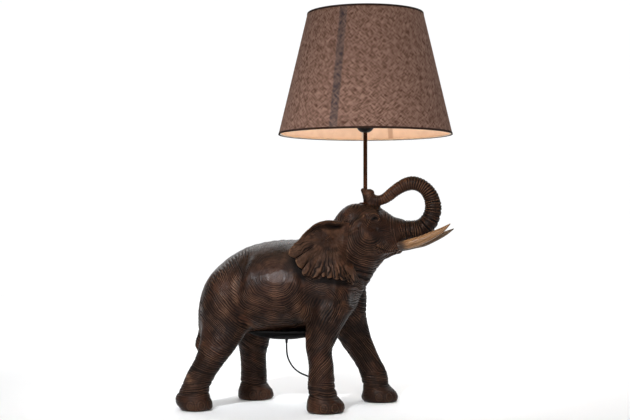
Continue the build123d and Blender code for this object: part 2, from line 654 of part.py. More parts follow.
cap = [(0.0, 553.4), (9.0, 553.4), (12.8, 555.0)]
for k in range(5):
    z = 556.0 + 3.6 * k
    cap += [(12.8, z), (13.2, z + 1.8)]
cap += [(12.8, 574.6), (13.0, 577.0), (0.0, 577.0)]
bulb_cap = ring_of(cap)
finish(bulb_cap, "bulb_cap")
bulb_insulator = ring_of([(0.0, 551.2), (4.0, 551.2), (9.0, 553.4), (0.0, 553.4)])
finish(bulb_insulator, "bulb_insulator")
bulb_contact = ring_of([(0.0, 550.4), (3.2, 550.4), (4.0, 551.2), (0.0, 551.2)])
finish(bulb_contact, "bulb_contact")

# ---------------------------------------------------------------- wiring
INNER = [
    (GLAND_X, 0, 119.0), (GLAND_X, 0, 152.0), (-20.0, 0, 152.0), (2.0, 0, 182.0), (24.0, 0, 232.0),
    (62.0, 0, 272.0), (ROD_X, 0, 312.0), (ROD_X, 0, 536.4),
]
inner_r = [12.0] + [18.0] * (len(INNER) - 3)
with BuildPart() as inner_lead:
    with BuildLine():
        FilletPolyline(*INNER, radius=inner_r)
    with BuildSketch(Plane(origin=INNER[0], x_dir=(1, 0, 0), z_dir=(0, 0, 1))):
        Circle(CORD_D / 2)
    sweep()
finish(inner_lead, "inner_lead")

lead_r = bend_radii(LEAD_POINTS)
with BuildPart() as cord_lead:
    with BuildLine() as lead_line:
        FilletPolyline(*LEAD_POINTS, radius=lead_r)
    with BuildSketch(Plane(origin=LEAD_POINTS[0], z_dir=unit(tuple(LEAD_POINTS[1][k] - LEAD_POINTS[0][k] for k in range(3))))):
        Circle(CORD_D / 2)
    sweep()
finish(cord_lead, "cord_lead")

TAIL_POINTS = [along(p, 58 + q, z - PLUG_FACE[2]) for p, q, z in TAIL]
tail_r = bend_radii(TAIL_POINTS)
with BuildPart() as cord_tail:
    with BuildLine() as tail_line:
        FilletPolyline(*TAIL_POINTS, radius=tail_r)
    with BuildSketch(Plane(origin=TAIL_POINTS[0], z_dir=unit(tuple(TAIL_POINTS[1][k] - TAIL_POINTS[0][k] for k in range(3))))):
        Circle(CORD_D / 2)
    sweep()
finish(cord_tail, "cord_tail")

half_w = COIL_COLS * CORD_D / 2
# a tie round the bundle, on the side away from the plug, sunk into the turns
tie_c = (COIL_C[0] - COIL_R * math.sin(LIE), COIL_C[1] + COIL_R * math.cos(LIE))
tie_plane = Plane(
    origin=(tie_c[0] - 3 * math.cos(LIE), tie_c[1] - 3 * math.sin(LIE), COIL_ROWS * CORD_D / 2),
    x_dir=(-math.sin(LIE), math.cos(LIE), 0), z_dir=(math.cos(LIE), math.sin(LIE), 0),
)
with BuildPart() as coil_tie:
    with BuildSketch(tie_plane):
        RectangleRounded(2 * half_w + 0.6, COIL_ROWS * CORD_D, 2.4)
        RectangleRounded(2 * half_w - 0.8, COIL_ROWS * CORD_D - 1.4, 1.7, mode=Mode.SUBTRACT)
    extrude(amount=6)
finish(coil_tie, "coil_tie")

with BuildPart() as cord_coil:
    with BuildSketch(Plane.XY):
        with Locations(COIL_C):
            Circle(COIL_R + half_w)
            Circle(COIL_R - half_w, mode=Mode.SUBTRACT)
    extrude(amount=COIL_ROWS * CORD_D)
    fillet(edges().filter_by(GeomType.CIRCLE), 1.2)
    with BuildSketch(tie_plane):
        Rectangle(2 * half_w + 4, COIL_ROWS * CORD_D + 4)
        RectangleRounded(2 * half_w - 0.8, COIL_ROWS * CORD_D - 1.4, 1.7, mode=Mode.SUBTRACT)
    extrude(amount=6, mode=Mode.SUBTRACT)
finish(cord_coil, "cord_coil")

# ---------------------------------------------------------------- plug
with BuildPart() as plug_body:
    with BuildSketch(Plane(origin=along(0, 0, 0), x_dir=(math.cos(LIE), math.sin(LIE), 0), z_dir=(-math.sin(LIE), math.cos(LIE), 0))):
        RectangleRounded(35.3, 13.7, 5.0)
    with BuildSketch(Plane(origin=along(0, 14, 0), x_dir=(math.cos(LIE), math.sin(LIE), 0), z_dir=(-math.sin(LIE), math.cos(LIE), 0))):
        RectangleRounded(33.5, 13.7, 5.0)
    with BuildSketch(Plane(origin=along(0, 30, 0), x_dir=(math.cos(LIE), math.sin(LIE), 0), z_dir=(-math.sin(LIE), math.cos(LIE), 0))):
        RectangleRounded(20.0, 12.4, 5.0)
    with BuildSketch(Plane(origin=along(0, 38, 0), x_dir=(math.cos(LIE), math.sin(LIE), 0), z_dir=(-math.sin(LIE), math.cos(LIE), 0))):
        RectangleRounded(12.0, 10.4, 4.6)
    loft(ruled=True)
    for p in (-9.3, 9.3):
        with BuildSketch(Plane(origin=along(p, 3, 0), x_dir=(math.cos(LIE), math.sin(LIE), 0), z_dir=(math.sin(LIE), -math.cos(LIE), 0))):
            Circle(2.0)
        extrude(amount=6, mode=Mode.SUBTRACT)
finish(plug_body, "plug_body")

with BuildPart() as plug_pins:
    for p in (-9.3, 9.3):
        with BuildSketch(Plane(origin=along(p, 3, 0), x_dir=(math.cos(LIE), math.sin(LIE), 0), z_dir=(math.sin(LIE), -math.cos(LIE), 0))):
            Circle(2.0)
        extrude(amount=22)
    chamfer(edges().filter_by(GeomType.CIRCLE).group_by(Axis.Y)[0], 0.8)
finish(plug_pins, "plug_pins")

with BuildPart() as plug_relief:
    with BuildSketch(Plane(origin=along(0, 38, 0), x_dir=(math.cos(LIE), math.sin(LIE), 0), z_dir=(-math.sin(LIE), math.cos(LIE), 0))):
        Circle(4.6)
    with BuildSketch(Plane(origin=along(0, 58, 0), x_dir=(math.cos(LIE), math.sin(LIE), 0), z_dir=(-math.sin(LIE), math.cos(LIE), 0))):
        Circle(2.3)
    loft()
finish(plug_relief, "plug_relief")

# ---------------------------------------------------------------- figures
for label, line, part, radii in (("lead", lead_line, cord_lead, lead_r), ("tail", tail_line, cord_tail, tail_r)):
    length = sum(e.length for e in line.edges())
    print(label, "length", round(length, 1), "radii", [round(r, 1) for r in radii],
          "volume ratio", round(part.part.volume / (math.pi * CORD_D ** 2 / 4 * length), 4))
print("inner lead radii", [round(r, 1) for r in inner_r])
print("plug relief ends at", [round(v, 2) for v in along(0, 58, 0)])
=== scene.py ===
import math

import bmesh
import bpy
import numpy as np
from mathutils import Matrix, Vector


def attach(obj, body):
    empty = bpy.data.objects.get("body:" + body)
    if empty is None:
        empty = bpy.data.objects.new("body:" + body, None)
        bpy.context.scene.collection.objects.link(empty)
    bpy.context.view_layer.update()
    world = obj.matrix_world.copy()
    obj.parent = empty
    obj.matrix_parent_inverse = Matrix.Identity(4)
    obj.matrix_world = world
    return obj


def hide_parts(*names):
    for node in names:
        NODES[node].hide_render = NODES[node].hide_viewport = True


# Looks of an elephant table lamp. Blender works in metres; the sculpting tables
# below are in millimetres in the same frame and are scaled once, in new_mesh().

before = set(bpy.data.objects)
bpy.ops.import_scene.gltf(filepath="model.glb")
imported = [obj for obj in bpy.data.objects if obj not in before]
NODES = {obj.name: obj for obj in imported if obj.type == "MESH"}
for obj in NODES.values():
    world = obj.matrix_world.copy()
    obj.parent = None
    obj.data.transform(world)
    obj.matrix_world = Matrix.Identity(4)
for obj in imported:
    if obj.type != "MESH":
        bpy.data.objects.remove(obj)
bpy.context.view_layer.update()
MM = 0.001

ROD_X = 89.5
SHADE_R_LOW, SHADE_R_TOP, SHADE_Z_LOW, SHADE_Z_TOP = 165.0, 110.0, 515.0, 745.0

# ---------------------------------------------------------------- camera
scene = bpy.context.scene
cam_data = bpy.data.cameras.new("camera")
cam = bpy.data.objects.new("camera", cam_data)
scene.collection.objects.link(cam)
scene.camera = cam
cam.location = (0.3222, -2.3404, 0.3446)
look = Vector((-math.sin(math.radians(8)), math.cos(math.radians(8)), 0))
cam.rotation_mode = "QUATERNION"
cam.rotation_quaternion = look.to_track_quat("-Z", "Y")
cam_data.sensor_width = 36
cam_data.lens = 70.9
cam_data.shift_y = 0.0237
cam_data.clip_start = 0.1
cam_data.clip_end = 30


# ---------------------------------------------------------------- helpers
def new_mesh(name, verts_mm, faces, body, replaces=(), smooth=True):
    """A piece from points in millimetres and a face array (quads or triangles) or list."""
    me = bpy.data.meshes.new(name)
    v = np.asarray(verts_mm, np.float32) * MM
    if isinstance(faces, np.ndarray):
        k = faces.shape[1]
        me.vertices.add(len(v))
        me.vertices.foreach_set("co", v.ravel())
        me.loops.add(faces.size)
        me.loops.foreach_set("vertex_index", faces.astype(np.int32).ravel())
        me.polygons.add(len(faces))
        me.polygons.foreach_set("loop_start", np.arange(0, faces.size, k, dtype=np.int32))
        me.update(calc_edges=True)
        me.validate()
    else:
        me.from_pydata([tuple(p) for p in v], [], faces)
    if smooth:
        me.polygons.foreach_set("use_smooth", np.ones(len(me.polygons), bool))
    me.update()
    ob = bpy.data.objects.new(name, me)
    scene.collection.objects.link(ob)
    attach(ob, body)
    if replaces:
        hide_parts(*replaces)
    return ob


def coords(me):
    a = np.empty(len(me.vertices) * 3, np.float32)
    me.vertices.foreach_get("co", a)
    return a.reshape(-1, 3).astype(np.float64) / MM


def normals(me):
    a = np.empty(len(me.vertices) * 3, np.float32)
    me.vertex_normals.foreach_get("vector", a)
    return a.reshape(-1, 3).astype(np.float64)


def set_coords(me, p):
    me.vertices.foreach_set("co", (np.asarray(p) * MM).astype(np.float32).ravel())
    me.update()


def attribute(me, name, values):
    at = me.attributes.new(name, "FLOAT", "POINT")
    at.data.foreach_set("value", np.asarray(values, np.float32))


def subdivided(ob, levels=1):
    """The same object with its mesh subdivided and applied."""
    mod = ob.modifiers.new("sub", "SUBSURF")
    mod.levels = mod.render_levels = levels
    dg = bpy.context.evaluated_depsgraph_get()
    me = bpy.data.meshes.new_from_object(ob.evaluated_get(dg))
    ob.modifiers.clear()
    old = ob.data
    name = old.name
    ob.data = me
    bpy.data.meshes.remove(old)
    me.name = name
    me.polygons.foreach_set("use_smooth", np.ones(len(me.polygons), bool))
    return ob


def _hash(ix, iy, iz, seed):
    h = (ix.astype(np.int64) * 374761393 + iy.astype(np.int64) * 668265263 + iz.astype(np.int64) * 1440662683 + seed * 1274126177) & 0xFFFFFFFF
    h = ((h ^ (h >> 13)) * 1274126177) & 0xFFFFFFFF
    h = ((h ^ (h >> 16)) * 2246822519) & 0xFFFFFFFF
    return ((h ^ (h >> 13)) & 0xFFFFFF) / 16777216.0


def noise(p, size, seed=0):
    """Smooth value noise from -1 to 1; size is its grain in millimetres, one number or three."""
    q = p / np.asarray(size, float)
    i = np.floor(q).astype(np.int64)
    f = q - i
    f = f * f * f * (f * (f * 6 - 15) + 10)
    out = 0.0
    for dx in (0, 1):
        wx = f[:, 0] if dx else 1 - f[:, 0]
        for dy in (0, 1):
            wy = f[:, 1] if dy else 1 - f[:, 1]
            for dz in (0, 1):
                wz = f[:, 2] if dz else 1 - f[:, 2]
                out = out + wx * wy * wz * _hash(i[:, 0] + dx, i[:, 1] + dy, i[:, 2] + dz, seed)
    return out * 2 - 1


def fbm(p, size, seed=0, octaves=3):
    out, a, s, t = 0.0, 1.0, np.asarray(size, float), 0.0
    for k in range(octaves):
        out = out + a * noise(p, s, seed + 17 * k)
        t += a
        a *= 0.5
        s = s * 0.5
    return out / t


def step(a, b, x):
    t = np.clip((x - a) / (b - a), 0, 1)
    return t * t * (3 - 2 * t)


def between(table, steps=2):
    out = []
    for i in range(len(table) - 1):
        p = [table[max(i - 1, 0)], table[i], table[i + 1], table[min(i + 2, len(table) - 1)]]
        for k in range(steps):
            t = k / steps
            out.append([
                0.5 * (2 * b + (c - a) * t + (2 * a - 5 * b + 4 * c - d) * t * t + (3 * b - a - 3 * c + d) * t ** 3)
                for a, b, c, d in zip(*p)
            ])
    return np.array(out + [list(map(float, table[-1]))])


def smin(a, b, k):
    h = np.clip(0.5 + 0.5 * (b - a) / k, 0, 1)
    return b + (a - b) * h - k * h * (1 - h)


def smax(a, b, k):
    return -smin(-a, -b, k)


# ---------------------------------------------------------------- tables of the figure
TORSO = [
    (-232.6, 172, 158, 5), (-231.2, 180, 151, 12), (-228.6, 189, 142, 22), (-224.5, 210, 126, 42), (-216.5, 233, 118, 61),
    (-200.5, 257, 118, 79), (-173.5, 281, 124, 92), (-132.5, 304, 136, 100),
    (-86.5, 315, 138, 104), (-41.5, 317, 142, 102), (3.5, 322, 155, 94),
    (43.5, 326, 162, 80), (68.0, 312, 184, 60), (78.0, 292, 208, 42), (84.6, 275, 218, 26), (88.6, 260, 229, 9),
]
HEAD = [
    (10.0, 338, 196, 66), (28.0, 352.0, 207, 62), (37.5, 364.6, 212, 60), (46.0, 372.6, 218, 59), (58.5, 379.8, 226, 57),
    (75.5, 383.5, 235, 54), (93.5, 384.5, 236, 50), (104.0, 383.6, 251, 47), (113.5, 380.5, 267, 44),
    (128.5, 371, 286, 37), (143.5, 360, 301, 29), (158.5, 354, 312, 20), (164.0, 350, 320, 13),
]
TRUNK = [
    (132.0, 326.0, 31.0), (142.0, 328.0, 28.0), (157.1, 332.3, 22.4), (176.8, 334.4, 18.9), (195.8, 337.6, 18.6),
    (208.8, 349.8, 17.4), (216.2, 366.3, 15.9), (217.2, 384.3, 15.0), (212.8, 399.5, 14.2),
    (204.0, 411.9, 13.4), (191.7, 420.4, 13.0), (176.5, 423.2, 12.9), (159.9, 418.3, 12.1),
    (145.7, 409.3, 11.4), (132.9, 398.6, 10.5), (122.5, 392.4, 9.9), (112.0, 391.0, 9.8),
    (102.2, 393.6, 9.9), (96.0, 398.6, 9.8), (94.2, 405.0, 9.2),
]
LEG_NEAR_HIND = [
    (0.4, -219, 26.5, -80, 28), (4, -219.6, 30.2, -80, 31.5), (12, -223.4, 33.4, -80, 33), (24, -225.8, 32.2, -80, 31.5),
    (34, -223.4, 28.4, -80, 28), (42, -220.8, 26.2, -80, 26.4), (50, -217, 26.4, -80, 26), (70, -207, 27.6, -80, 27),
    (93, -192, 29.5, -80, 29), (118, -179, 35.5, -76, 31), (150, -168, 43, -66, 32),
    (190, -161, 45, -54, 32),
]
LEG_NEAR_FRONT = [
    (0.4, 24, 31, -80, 30), (4, 24, 34, -80, 33), (10, 24, 35, -80, 33.5), (20, 22.6, 32.6, -80, 32),
    (28, 20.2, 28.0, -80, 28.5), (36, 18.8, 26.0, -80, 26.5), (50, 16.3, 24.8, -80, 25.5), (85, 15.8, 22.8, -80, 25),
    (118, 11.8, 24.6, -77, 27), (150, 17.6, 32.2, -68, 29), (190, 30, 42, -54, 30),
]
LEG_FAR_HIND = [
    (0.4, -137, 31, 80, 30), (4, -137, 34.5, 80, 33), (10, -137, 35, 80, 33.5), (20, -137.5, 33, 80, 32),
    (30, -140, 27.2, 80, 28), (38, -140.5, 25.6, 80, 26), (50, -140.5, 25.2, 80, 26), (88, -142, 25.6, 80, 27),
    (112, -141, 31.5, 77, 30), (150, -146, 42, 66, 32), (190, -150, 48, 54, 32),
]
LEG_FAR_FRONT = [
    (0.4, 110, 32, 80, 30), (4, 110, 35, 80, 33), (10, 109.5, 35.5, 80, 33.5), (21, 108, 31.5, 80, 32),
    (30, 103.6, 26.6, 80, 28), (38, 101.2, 25.6, 80, 26.4), (50, 98.5, 26, 80, 26), (68, 91.5, 26.5, 80, 26),
    (91, 78, 28.5, 80, 28), (115, 65, 32, 77, 30), (150, 52, 36, 68, 30),
    (190, 44, 38, 54, 36), (215, 42, 35, 48, 30),
]
LEGS = [LEG_NEAR_HIND, LEG_NEAR_FRONT, LEG_FAR_HIND, LEG_FAR_FRONT]
FEET = [(-223.5, -80), (24, -80), (-137, 80), (110, 80)]
TUSK_NEAR = [
    (132.0, -17, 304.6, 7.6), (145.4, -20, 304.6, 8.4), (160.6, -24, 306.2, 8.8),
    (177.6, -27, 310.8, 9.1), (195.2, -29, 316.0, 8.7), (218.5, -30, 326.4, 7.1),
    (237.0, -29, 336.8, 4.5), (250.2, -27, 346.6, 0.9),
]
TUSK_FAR = [
    (134.0, 17, 301.5, 7.6), (148.0, 20, 302.2, 8.2), (164.9, 24, 304.6, 8.6),
    (181.8, 27, 308.4, 8.6), (198.8, 29, 311.8, 8.1), (221.5, 30, 320.8, 6.4),
    (240.5, 29, 329.4, 4.1), (255.0, 27, 337.2, 0.9),
]
# Outline of an ear in x and z
EAR = [
    (69.2, 344.6), (58.8, 350.0), (41.4, 353.4), (27.6, 354.4), (15.6, 351.8), (3.7, 346.3),
    (-6.5, 337.1), (-15.0, 328.0), (-21.8, 318.0), (-28.5, 311.6), (-33.5, 304.4), (-35.2, 291.7),
    (-28.5, 284.3), (-23.4, 277.0), (-18.4, 267.8), (-10.8, 254.8), (3.7, 251.6), (15.6, 253.2),
    (31.1, 250.4), (40.5, 249.2), (53.5, 246.2), (64.0, 243.6), (72.7, 236.0), (81.5, 241.0),
    (80.0, 252.0), (75.5, 264.0), (71.8, 276.0), (70.0, 292.0), (71.0, 316.0), (71.5, 331.0),
]
EAR_CREASES = [(-31.5, 308.5), (-27.5, 283.5), (-17.0, 264.0), (-2.5, 251.8), (18.0, 252.4), (26.5, 250.6), (38.5, 249.2), (51.0, 246.6), (61.5, 244.4), (68.0, 238.5), (75.0, 236.2), (81.5, 241.5)]
EAR_STARTS = [0.30, 0.42, 0.48, 0.52, 0.62, 0.58, 0.64, 0.62, 0.68, 0.66, 0.66]
TRUNK_D = between([(99.0, 319.5, 40.0), (110.0, 321.8, 40.0), (121.0, 324.0, 36.0)] + TRUNK, 6)


# ---------------------------------------------------------------- signed distances
def rows_x(table, X, Y, Z):
    """Distance to a body whose sections at each x are ellipses."""
    t = between(table, 8)
    t = t[np.argsort(t[:, 0])]
    top, low, half = (np.interp(X, t[:, 0], t[:, k]) for k in (1, 2, 3))
    cz, hz = (top + low) / 2, (top - low) / 2
    pz, py = (Z - cz) / hz, Y / half
    k0 = np.sqrt(py * py + pz * pz)
    k1 = np.sqrt((py / half) ** 2 + (pz / hz) ** 2) + 1e-6
    d = k0 * (k0 - 1) / k1
    dx = np.maximum(np.maximum(t[0, 0] - X, X - t[-1, 0]), 0)
    return np.where(dx > 0, np.sqrt(np.maximum(d, 0) ** 2 + dx * dx), d)


def rows_z(table, X, Y, Z):
    """Distance to a leg whose sections at each height are ellipses."""
    t = between(table, 6)
    cx, hx, cy, hy = (np.interp(Z, t[:, 0], t[:, k]) for k in (1, 2, 3, 4))
    px, py = (X - cx) / hx, (Y - cy) / hy
    k0 = np.sqrt(py * py + px * px)
    k1 = np.sqrt((py / hy) ** 2 + (px / hx) ** 2) + 1e-6
    d = k0 * (k0 - 1) / k1
    dz = np.maximum(np.maximum(t[0, 0] - Z, Z - t[-1, 0]), 0)
    return np.where(dz > 0, np.sqrt(np.maximum(d, 0) ** 2 + dz * dz), d)


def ellipsoid(c, r, X, Y, Z):
    px, py, pz = (X - c[0]) / r[0], (Y - c[1]) / r[1], (Z - c[2]) / r[2]
    k0 = np.sqrt(px * px + py * py + pz * pz)
    k1 = np.sqrt((px / r[0]) ** 2 + (py / r[1]) ** 2 + (pz / r[2]) ** 2) + 1e-6
    return k0 * (k0 - 1) / k1


def capsule(a, b, ra, rb, X, Y, Z):
    a, b = np.asarray(a, float), np.asarray(b, float)
    u = b - a
    t = np.clip(((X - a[0]) * u[0] + (Y - a[1]) * u[1] + (Z - a[2]) * u[2]) / (u @ u), 0, 1)
    return np.sqrt((X - a[0] - u[0] * t) ** 2 + (Y - a[1] - u[1] * t) ** 2 + (Z - a[2] - u[2] * t) ** 2) - (ra + (rb - ra) * t)


class Grid:
    def __init__(self, lo, hi, h):
        self.h = h
        self.lo = np.array(lo, float)
        n = np.ceil((np.array(hi) - self.lo) / h).astype(int) + 1
        self.ax = [self.lo[k] + h * np.arange(n[k]) for k in range(3)]
        self.D = np.full(n, 60.0, np.float32)

    def cut(self, lo, hi):
        s = tuple(slice(max(int((lo[k] - self.lo[k]) / self.h), 0), max(int((hi[k] - self.lo[k]) / self.h) + 2, 0)) for k in range(3))
        X = self.ax[0][s[0]][:, None, None].astype(np.float32)
        Y = self.ax[1][s[1]][None, :, None].astype(np.float32)
        Z = self.ax[2][s[2]][None, None, :].astype(np.float32)
        return s, X, Y, Z

    def add(self, lo, hi, fn, k=0.0, sub=False):
        s, X, Y, Z = self.cut(lo, hi)
        d = fn(X, Y, Z)
        cur = self.D[s]
        if sub:
            self.D[s] = smax(cur, -d, k) if k else np.maximum(cur, -d)
        else:
            self.D[s] = smin(cur, d, k) if k else np.minimum(cur, d)

    def chain(self, pts, k, margin=16, sub=False):
        """Smoothly joins, or cuts, a chain of round cones, given as x, y, z, radius."""
        p = np.asarray(pts, float)
        lo, hi = (p[:, :3] - p[:, 3:]).min(0) - margin, (p[:, :3] + p[:, 3:]).max(0) + margin
        s, X, Y, Z = self.cut(lo, hi)
        T = np.full(self.D[s].shape, 60.0, np.float32)
        base = np.array([s[i].start for i in range(3)])
        for a, b in zip(p, p[1:]):
            l2, h2 = np.minimum(a[:3] - a[3], b[:3] - b[3]) - margin, np.maximum(a[:3] + a[3], b[:3] + b[3]) + margin
            q, x, y, z = self.cut(l2, h2)
            loc = tuple(slice(q[i].start - base[i], q[i].stop - base[i]) for i in range(3))
            v = T[loc]
            if v.size == 0:
                continue
            d = capsule(a[:3], b[:3], a[3], b[3], x, y, z)[: v.shape[0], : v.shape[1], : v.shape[2]]
            T[loc] = np.minimum(v, d)
        self.D[s] = smax(self.D[s], -T, k) if sub else smin(self.D[s], T, k)

    def mesh(self):
        """Surface nets: one point per crossed cell, one quad per crossed edge."""
        D = self.D
        S = D < 0
        n = np.zeros(tuple(k - 1 for k in D.shape), np.int8)
        for dx in (0, 1):
            for dy in (0, 1):
                for dz in (0, 1):
                    n += S[dx:D.shape[0] - 1 + dx, dy:D.shape[1] - 1 + dy, dz:D.shape[2] - 1 + dz]
        act = (n > 0) & (n < 8)
        ids = np.argwhere(act)
        index = np.full(act.shape, -1, np.int32)
        index[act] = np.arange(len(ids))
        pos = np.zeros((len(ids), 3))
        cnt = np.zeros(len(ids))
        corner = [(a, b, c) for a in (0, 1) for b in (0, 1) for c in (0, 1)]
        for a in corner:
            for k in range(3):
                if a[k]:
                    continue
                b = list(a)
                b[k] = 1
                da = D[ids[:, 0] + a[0], ids[:, 1] + a[1], ids[:, 2] + a[2]].astype(float)
                db = D[ids[:, 0] + b[0], ids[:, 1] + b[1], ids[:, 2] + b[2]].astype(float)
                m = (da < 0) != (db < 0)
                t = da[m] / (da[m] - db[m])
                q = np.tile(np.array(a, float), (m.sum(), 1))
                q[:, k] += t
                pos[m] += q
                cnt[m] += 1
        P = self.lo + self.h * (ids + pos / cnt[:, None])
        quads = []
        for k in range(3):
            i, j = (k + 1) % 3, (k + 2) % 3
            sl0, sl1 = [slice(1, -1)] * 3, [slice(1, -1)] * 3
            sl0[k], sl1[k] = slice(0, -1), slice(1, None)
            a, b = S[tuple(sl0)], S[tuple(sl1)]
            for flip, m in ((False, a & ~b), (True, b & ~a)):
                c = np.argwhere(m)
                off = np.array([1, 1, 1])
                off[k] = 0
                c = c + off
                e = []
                for di, dj in ((-1, -1), (0, -1), (0, 0), (-1, 0)):
                    g = c.copy()
                    g[:, i] += di
                    g[:, j] += dj
                    e.append(index[g[:, 0], g[:, 1], g[:, 2]])
                q = np.stack(e, 1)
                quads.append(q[:, ::-1] if flip else q)
        return P, np.concatenate(quads)


# ---------------------------------------------------------------- the figure's form
def trunk_y(i):
    """How far the end of the trunk stands to the near side of the rod."""
    return -0.085 * max(i - 88, 0)


def build_form(h):
    g = Grid((-266, -124, -2), (244, 124, 444), h)
    g.add((-262, -122, 90), (120, 122, 345), lambda X, Y, Z: rows_x(TORSO, X, Y, Z))
    g.add((-12, -90, 176), (182, 90, 405), lambda X, Y, Z: rows_x(HEAD, X, Y, Z), 16)
    for k, leg in enumerate(LEGS):
        side = -1 if k < 2 else 1
        lo = (min(r[1] - r[2] for r in leg) - 26, min(r[3] - r[4] for r in leg) - 26, -2)
        hi = (max(r[1] + r[2] for r in leg) + 26, max(r[3] + r[4] for r in leg) + 26, 222)
        g.add(lo, hi, lambda X, Y, Z, leg=leg: rows_z(leg, X, Y, Z), 13)
    for side, hx, fx in ((-1, -172, 24), (1, -160, 42)):
        # muscle of the thigh, of the hip and of the shoulder
        for c, r, k in (
            ((hx, side * 64, 190), (38, 34, 60), 10), ((hx + 4, side * 52, 230), (32, 32, 32), 14),
            ((fx, side * 60, 214), (42, 34, 62), 16), ((fx + 16, side * 46, 262), (32, 34, 40), 18),
            ((fx - 2, side * 74, 166), (26, 30, 44), 10),
        ):
            g.add([c[q] - r[q] - 26 for q in range(3)], [c[q] + r[q] + 26 for q in range(3)],
                  lambda X, Y, Z, c=c, r=r: ellipsoid(c, r, X, Y, Z), k)
    # dome of the crown, cheeks, and the lower jaw
    for side in (-1, 1):
        for c, r, k in (
            ((72, side * 17, 357), (28, 26, 26), 12), ((128, side * 22, 307), (21, 16, 15), 10),
            ((104, side * 26, 362), (17, 14, 13), 8), ((86, side * 38, 322), (26, 16, 28), 14),
        ):
            g.add([c[q] - r[q] - 22 for q in range(3)], [c[q] + r[q] + 22 for q in range(3)],
                  lambda X, Y, Z, c=c, r=r: ellipsoid(c, r, X, Y, Z), k)
        # lip that holds the tusk
        g.chain([(124, side * 17, 306 if side < 0 else 303, 12.5), (138, side * 18.5, 304.4 if side < 0 else 300, 12.2),
                 (149, side * 21, 304.2 if side < 0 else 299.4, 10.6)], 7)
    g.chain([(90, 0, 279, 26), (110, 0, 290, 19.5), (127, 0, 294.4, 13.6), (142, 0, 295.4, 8.6), (151, 0, 295.4, 5.2), (156.5, 0, 295.2, 2.6)], 6)
    t = between(TRUNK, 4)
    g.chain([(x, trunk_y(i * 1.5), z, r) for i, (x, z, r) in enumerate(t)], 7)
    # the two lips of the trunk's tip
    ty = trunk_y(len(t) * 1.5)
    g.chain([(97.4, ty, 386.5, 9.6), (96.2, ty, 394.4, 10.6), (95.6, ty, 401, 10.4)], 4)
    g.chain([(92.5, ty, 403.5, 8.4), (88.6, ty - 0.8, 407.6, 6.4), (85.4, ty - 1.6, 410.2, 4.6)], 3.0)
    g.chain([(96, ty, 402, 8.4), (99.8, ty - 0.6, 404.6, 6.0), (103.0, ty - 1.0, 406.8, 3.7)], 3.0)
    # the hollow between the lips and the two nostrils
    g.chain([(93.4, ty - 1, 415, 4.4), (93.8, ty, 411.5, 2.6)], 2.5, sub=True)
    for dy in (-3.1, 3.1):
        g.chain([(93.6, ty + dy, 416, 2.3), (94.2, ty + dy, 407.5, 1.7)], 0.8, sub=True)
    # tail down the rump, with its tuft
    g.chain([(-221, 0, 205, 4.0), (-225.5, 0, 186, 4.4), (-228.2, 0, 165, 4.4), (-229.2, 0, 145, 4.2), (-231.0, 0, 131, 5.0),
             (-233.6, 0, 121, 6.2), (-233.4, 0, 112, 6.6), (-231.0, 0, 104, 5.0), (-228.6, 0, 98.5, 1.8)], 3)
    # the belly's lower corners rise beside the pan
    for side in (-1, 1):
        g.add((-112, min(side * 30, side * 102), 90), (-6, max(side * 30, side * 102), 162),
              lambda X, Y, Z: ellipsoid((-58, side * 66, 126), (42, 30, 28), X, Y, Z), 9, sub=True)
    # opening for the belly cover
    def pan(X, Y, Z):
        e = np.sqrt(((X + 66.0) / 80.5) ** 2 + (Y / 57.5) ** 2)
        return np.maximum((e - 1) * 60.0, np.maximum(Z - 145.2, 118.0 - Z))
    g.add((-152, -62, 112), (20, 62, 150), pan, sub=True)
    # flange seat and the way for the rod
    g.add((70, -16, 382), (110, 16, 398), lambda X, Y, Z: np.maximum(np.sqrt((X - ROD_X) ** 2 + Y * Y) - 11.8, np.maximum(384.9 - Z, Z - 387.6)), sub=True)
    g.add((80, -8, 380), (100, 8, 440), lambda X, Y, Z: np.maximum(np.sqrt((X - ROD_X) ** 2 + Y * Y) - 4.4, 384.0 - Z), sub=True)
    # flat soles
    g.add((-262, -124, -2), (160, 124, 4), lambda X, Y, Z: (Z - 0.4) + 0 * X + 0 * Y, sub=True)
    return g.mesh()


# ---------------------------------------------------------------- relief on the figure
def line_dist(x, z, pts):
    """Distance in the side view to a polyline, how far along it (0..1), and the side."""
    p = np.asarray(pts, float)
    seg = np.sqrt(((p[1:] - p[:-1]) ** 2).sum(1))
    tot = seg.sum()
    best = np.full(x.shape, 1e9)
    at = np.zeros_like(best)
    sign = np.zeros_like(best)
    run = 0.0
    for a, b, L in zip(p, p[1:], seg):
        u = (b - a) / L
        t = np.clip((x - a[0]) * u[0] + (z - a[1]) * u[1], 0, L)
        dx, dz = x - a[0] - u[0] * t, z - a[1] - u[1] * t
        d = np.sqrt(dx * dx + dz * dz)
        m = d < best
        best[m] = d[m]
        at[m] = (run + t[m]) / tot
        sign[m] = np.sign(u[0] * dz - u[1] * dx)[m]
        run += L
    return best, at, sign


def trunk_param(P):
    """Distance along the trunk's middle line and away from it."""
    t = TRUNK_D
    y = np.array([trunk_y(i - 18) for i in range(len(t))])
    c = np.stack([t[:, 0], y, t[:, 1]], 1)
    L = np.concatenate([[0], np.cumsum(np.sqrt(((c[1:] - c[:-1]) ** 2).sum(1)))])
    best = np.full(len(P), 1e9)
    s = np.zeros(len(P))
    r = np.zeros(len(P))
    for i in range(len(c) - 1):
        u = c[i + 1] - c[i]
        l2 = u @ u
        tt = np.clip(((P - c[i]) @ u) / l2, 0, 1)
        d = np.sqrt(((P - c[i] - tt[:, None] * u) ** 2).sum(1))
        rr = t[i, 2] + (t[i + 1, 2] - t[i, 2]) * tt
        m = d - rr < best
        best[m] = (d - rr)[m]
        s[m] = L[i] + tt[m] * math.sqrt(l2)
        r[m] = rr[m]
    return s, best, r


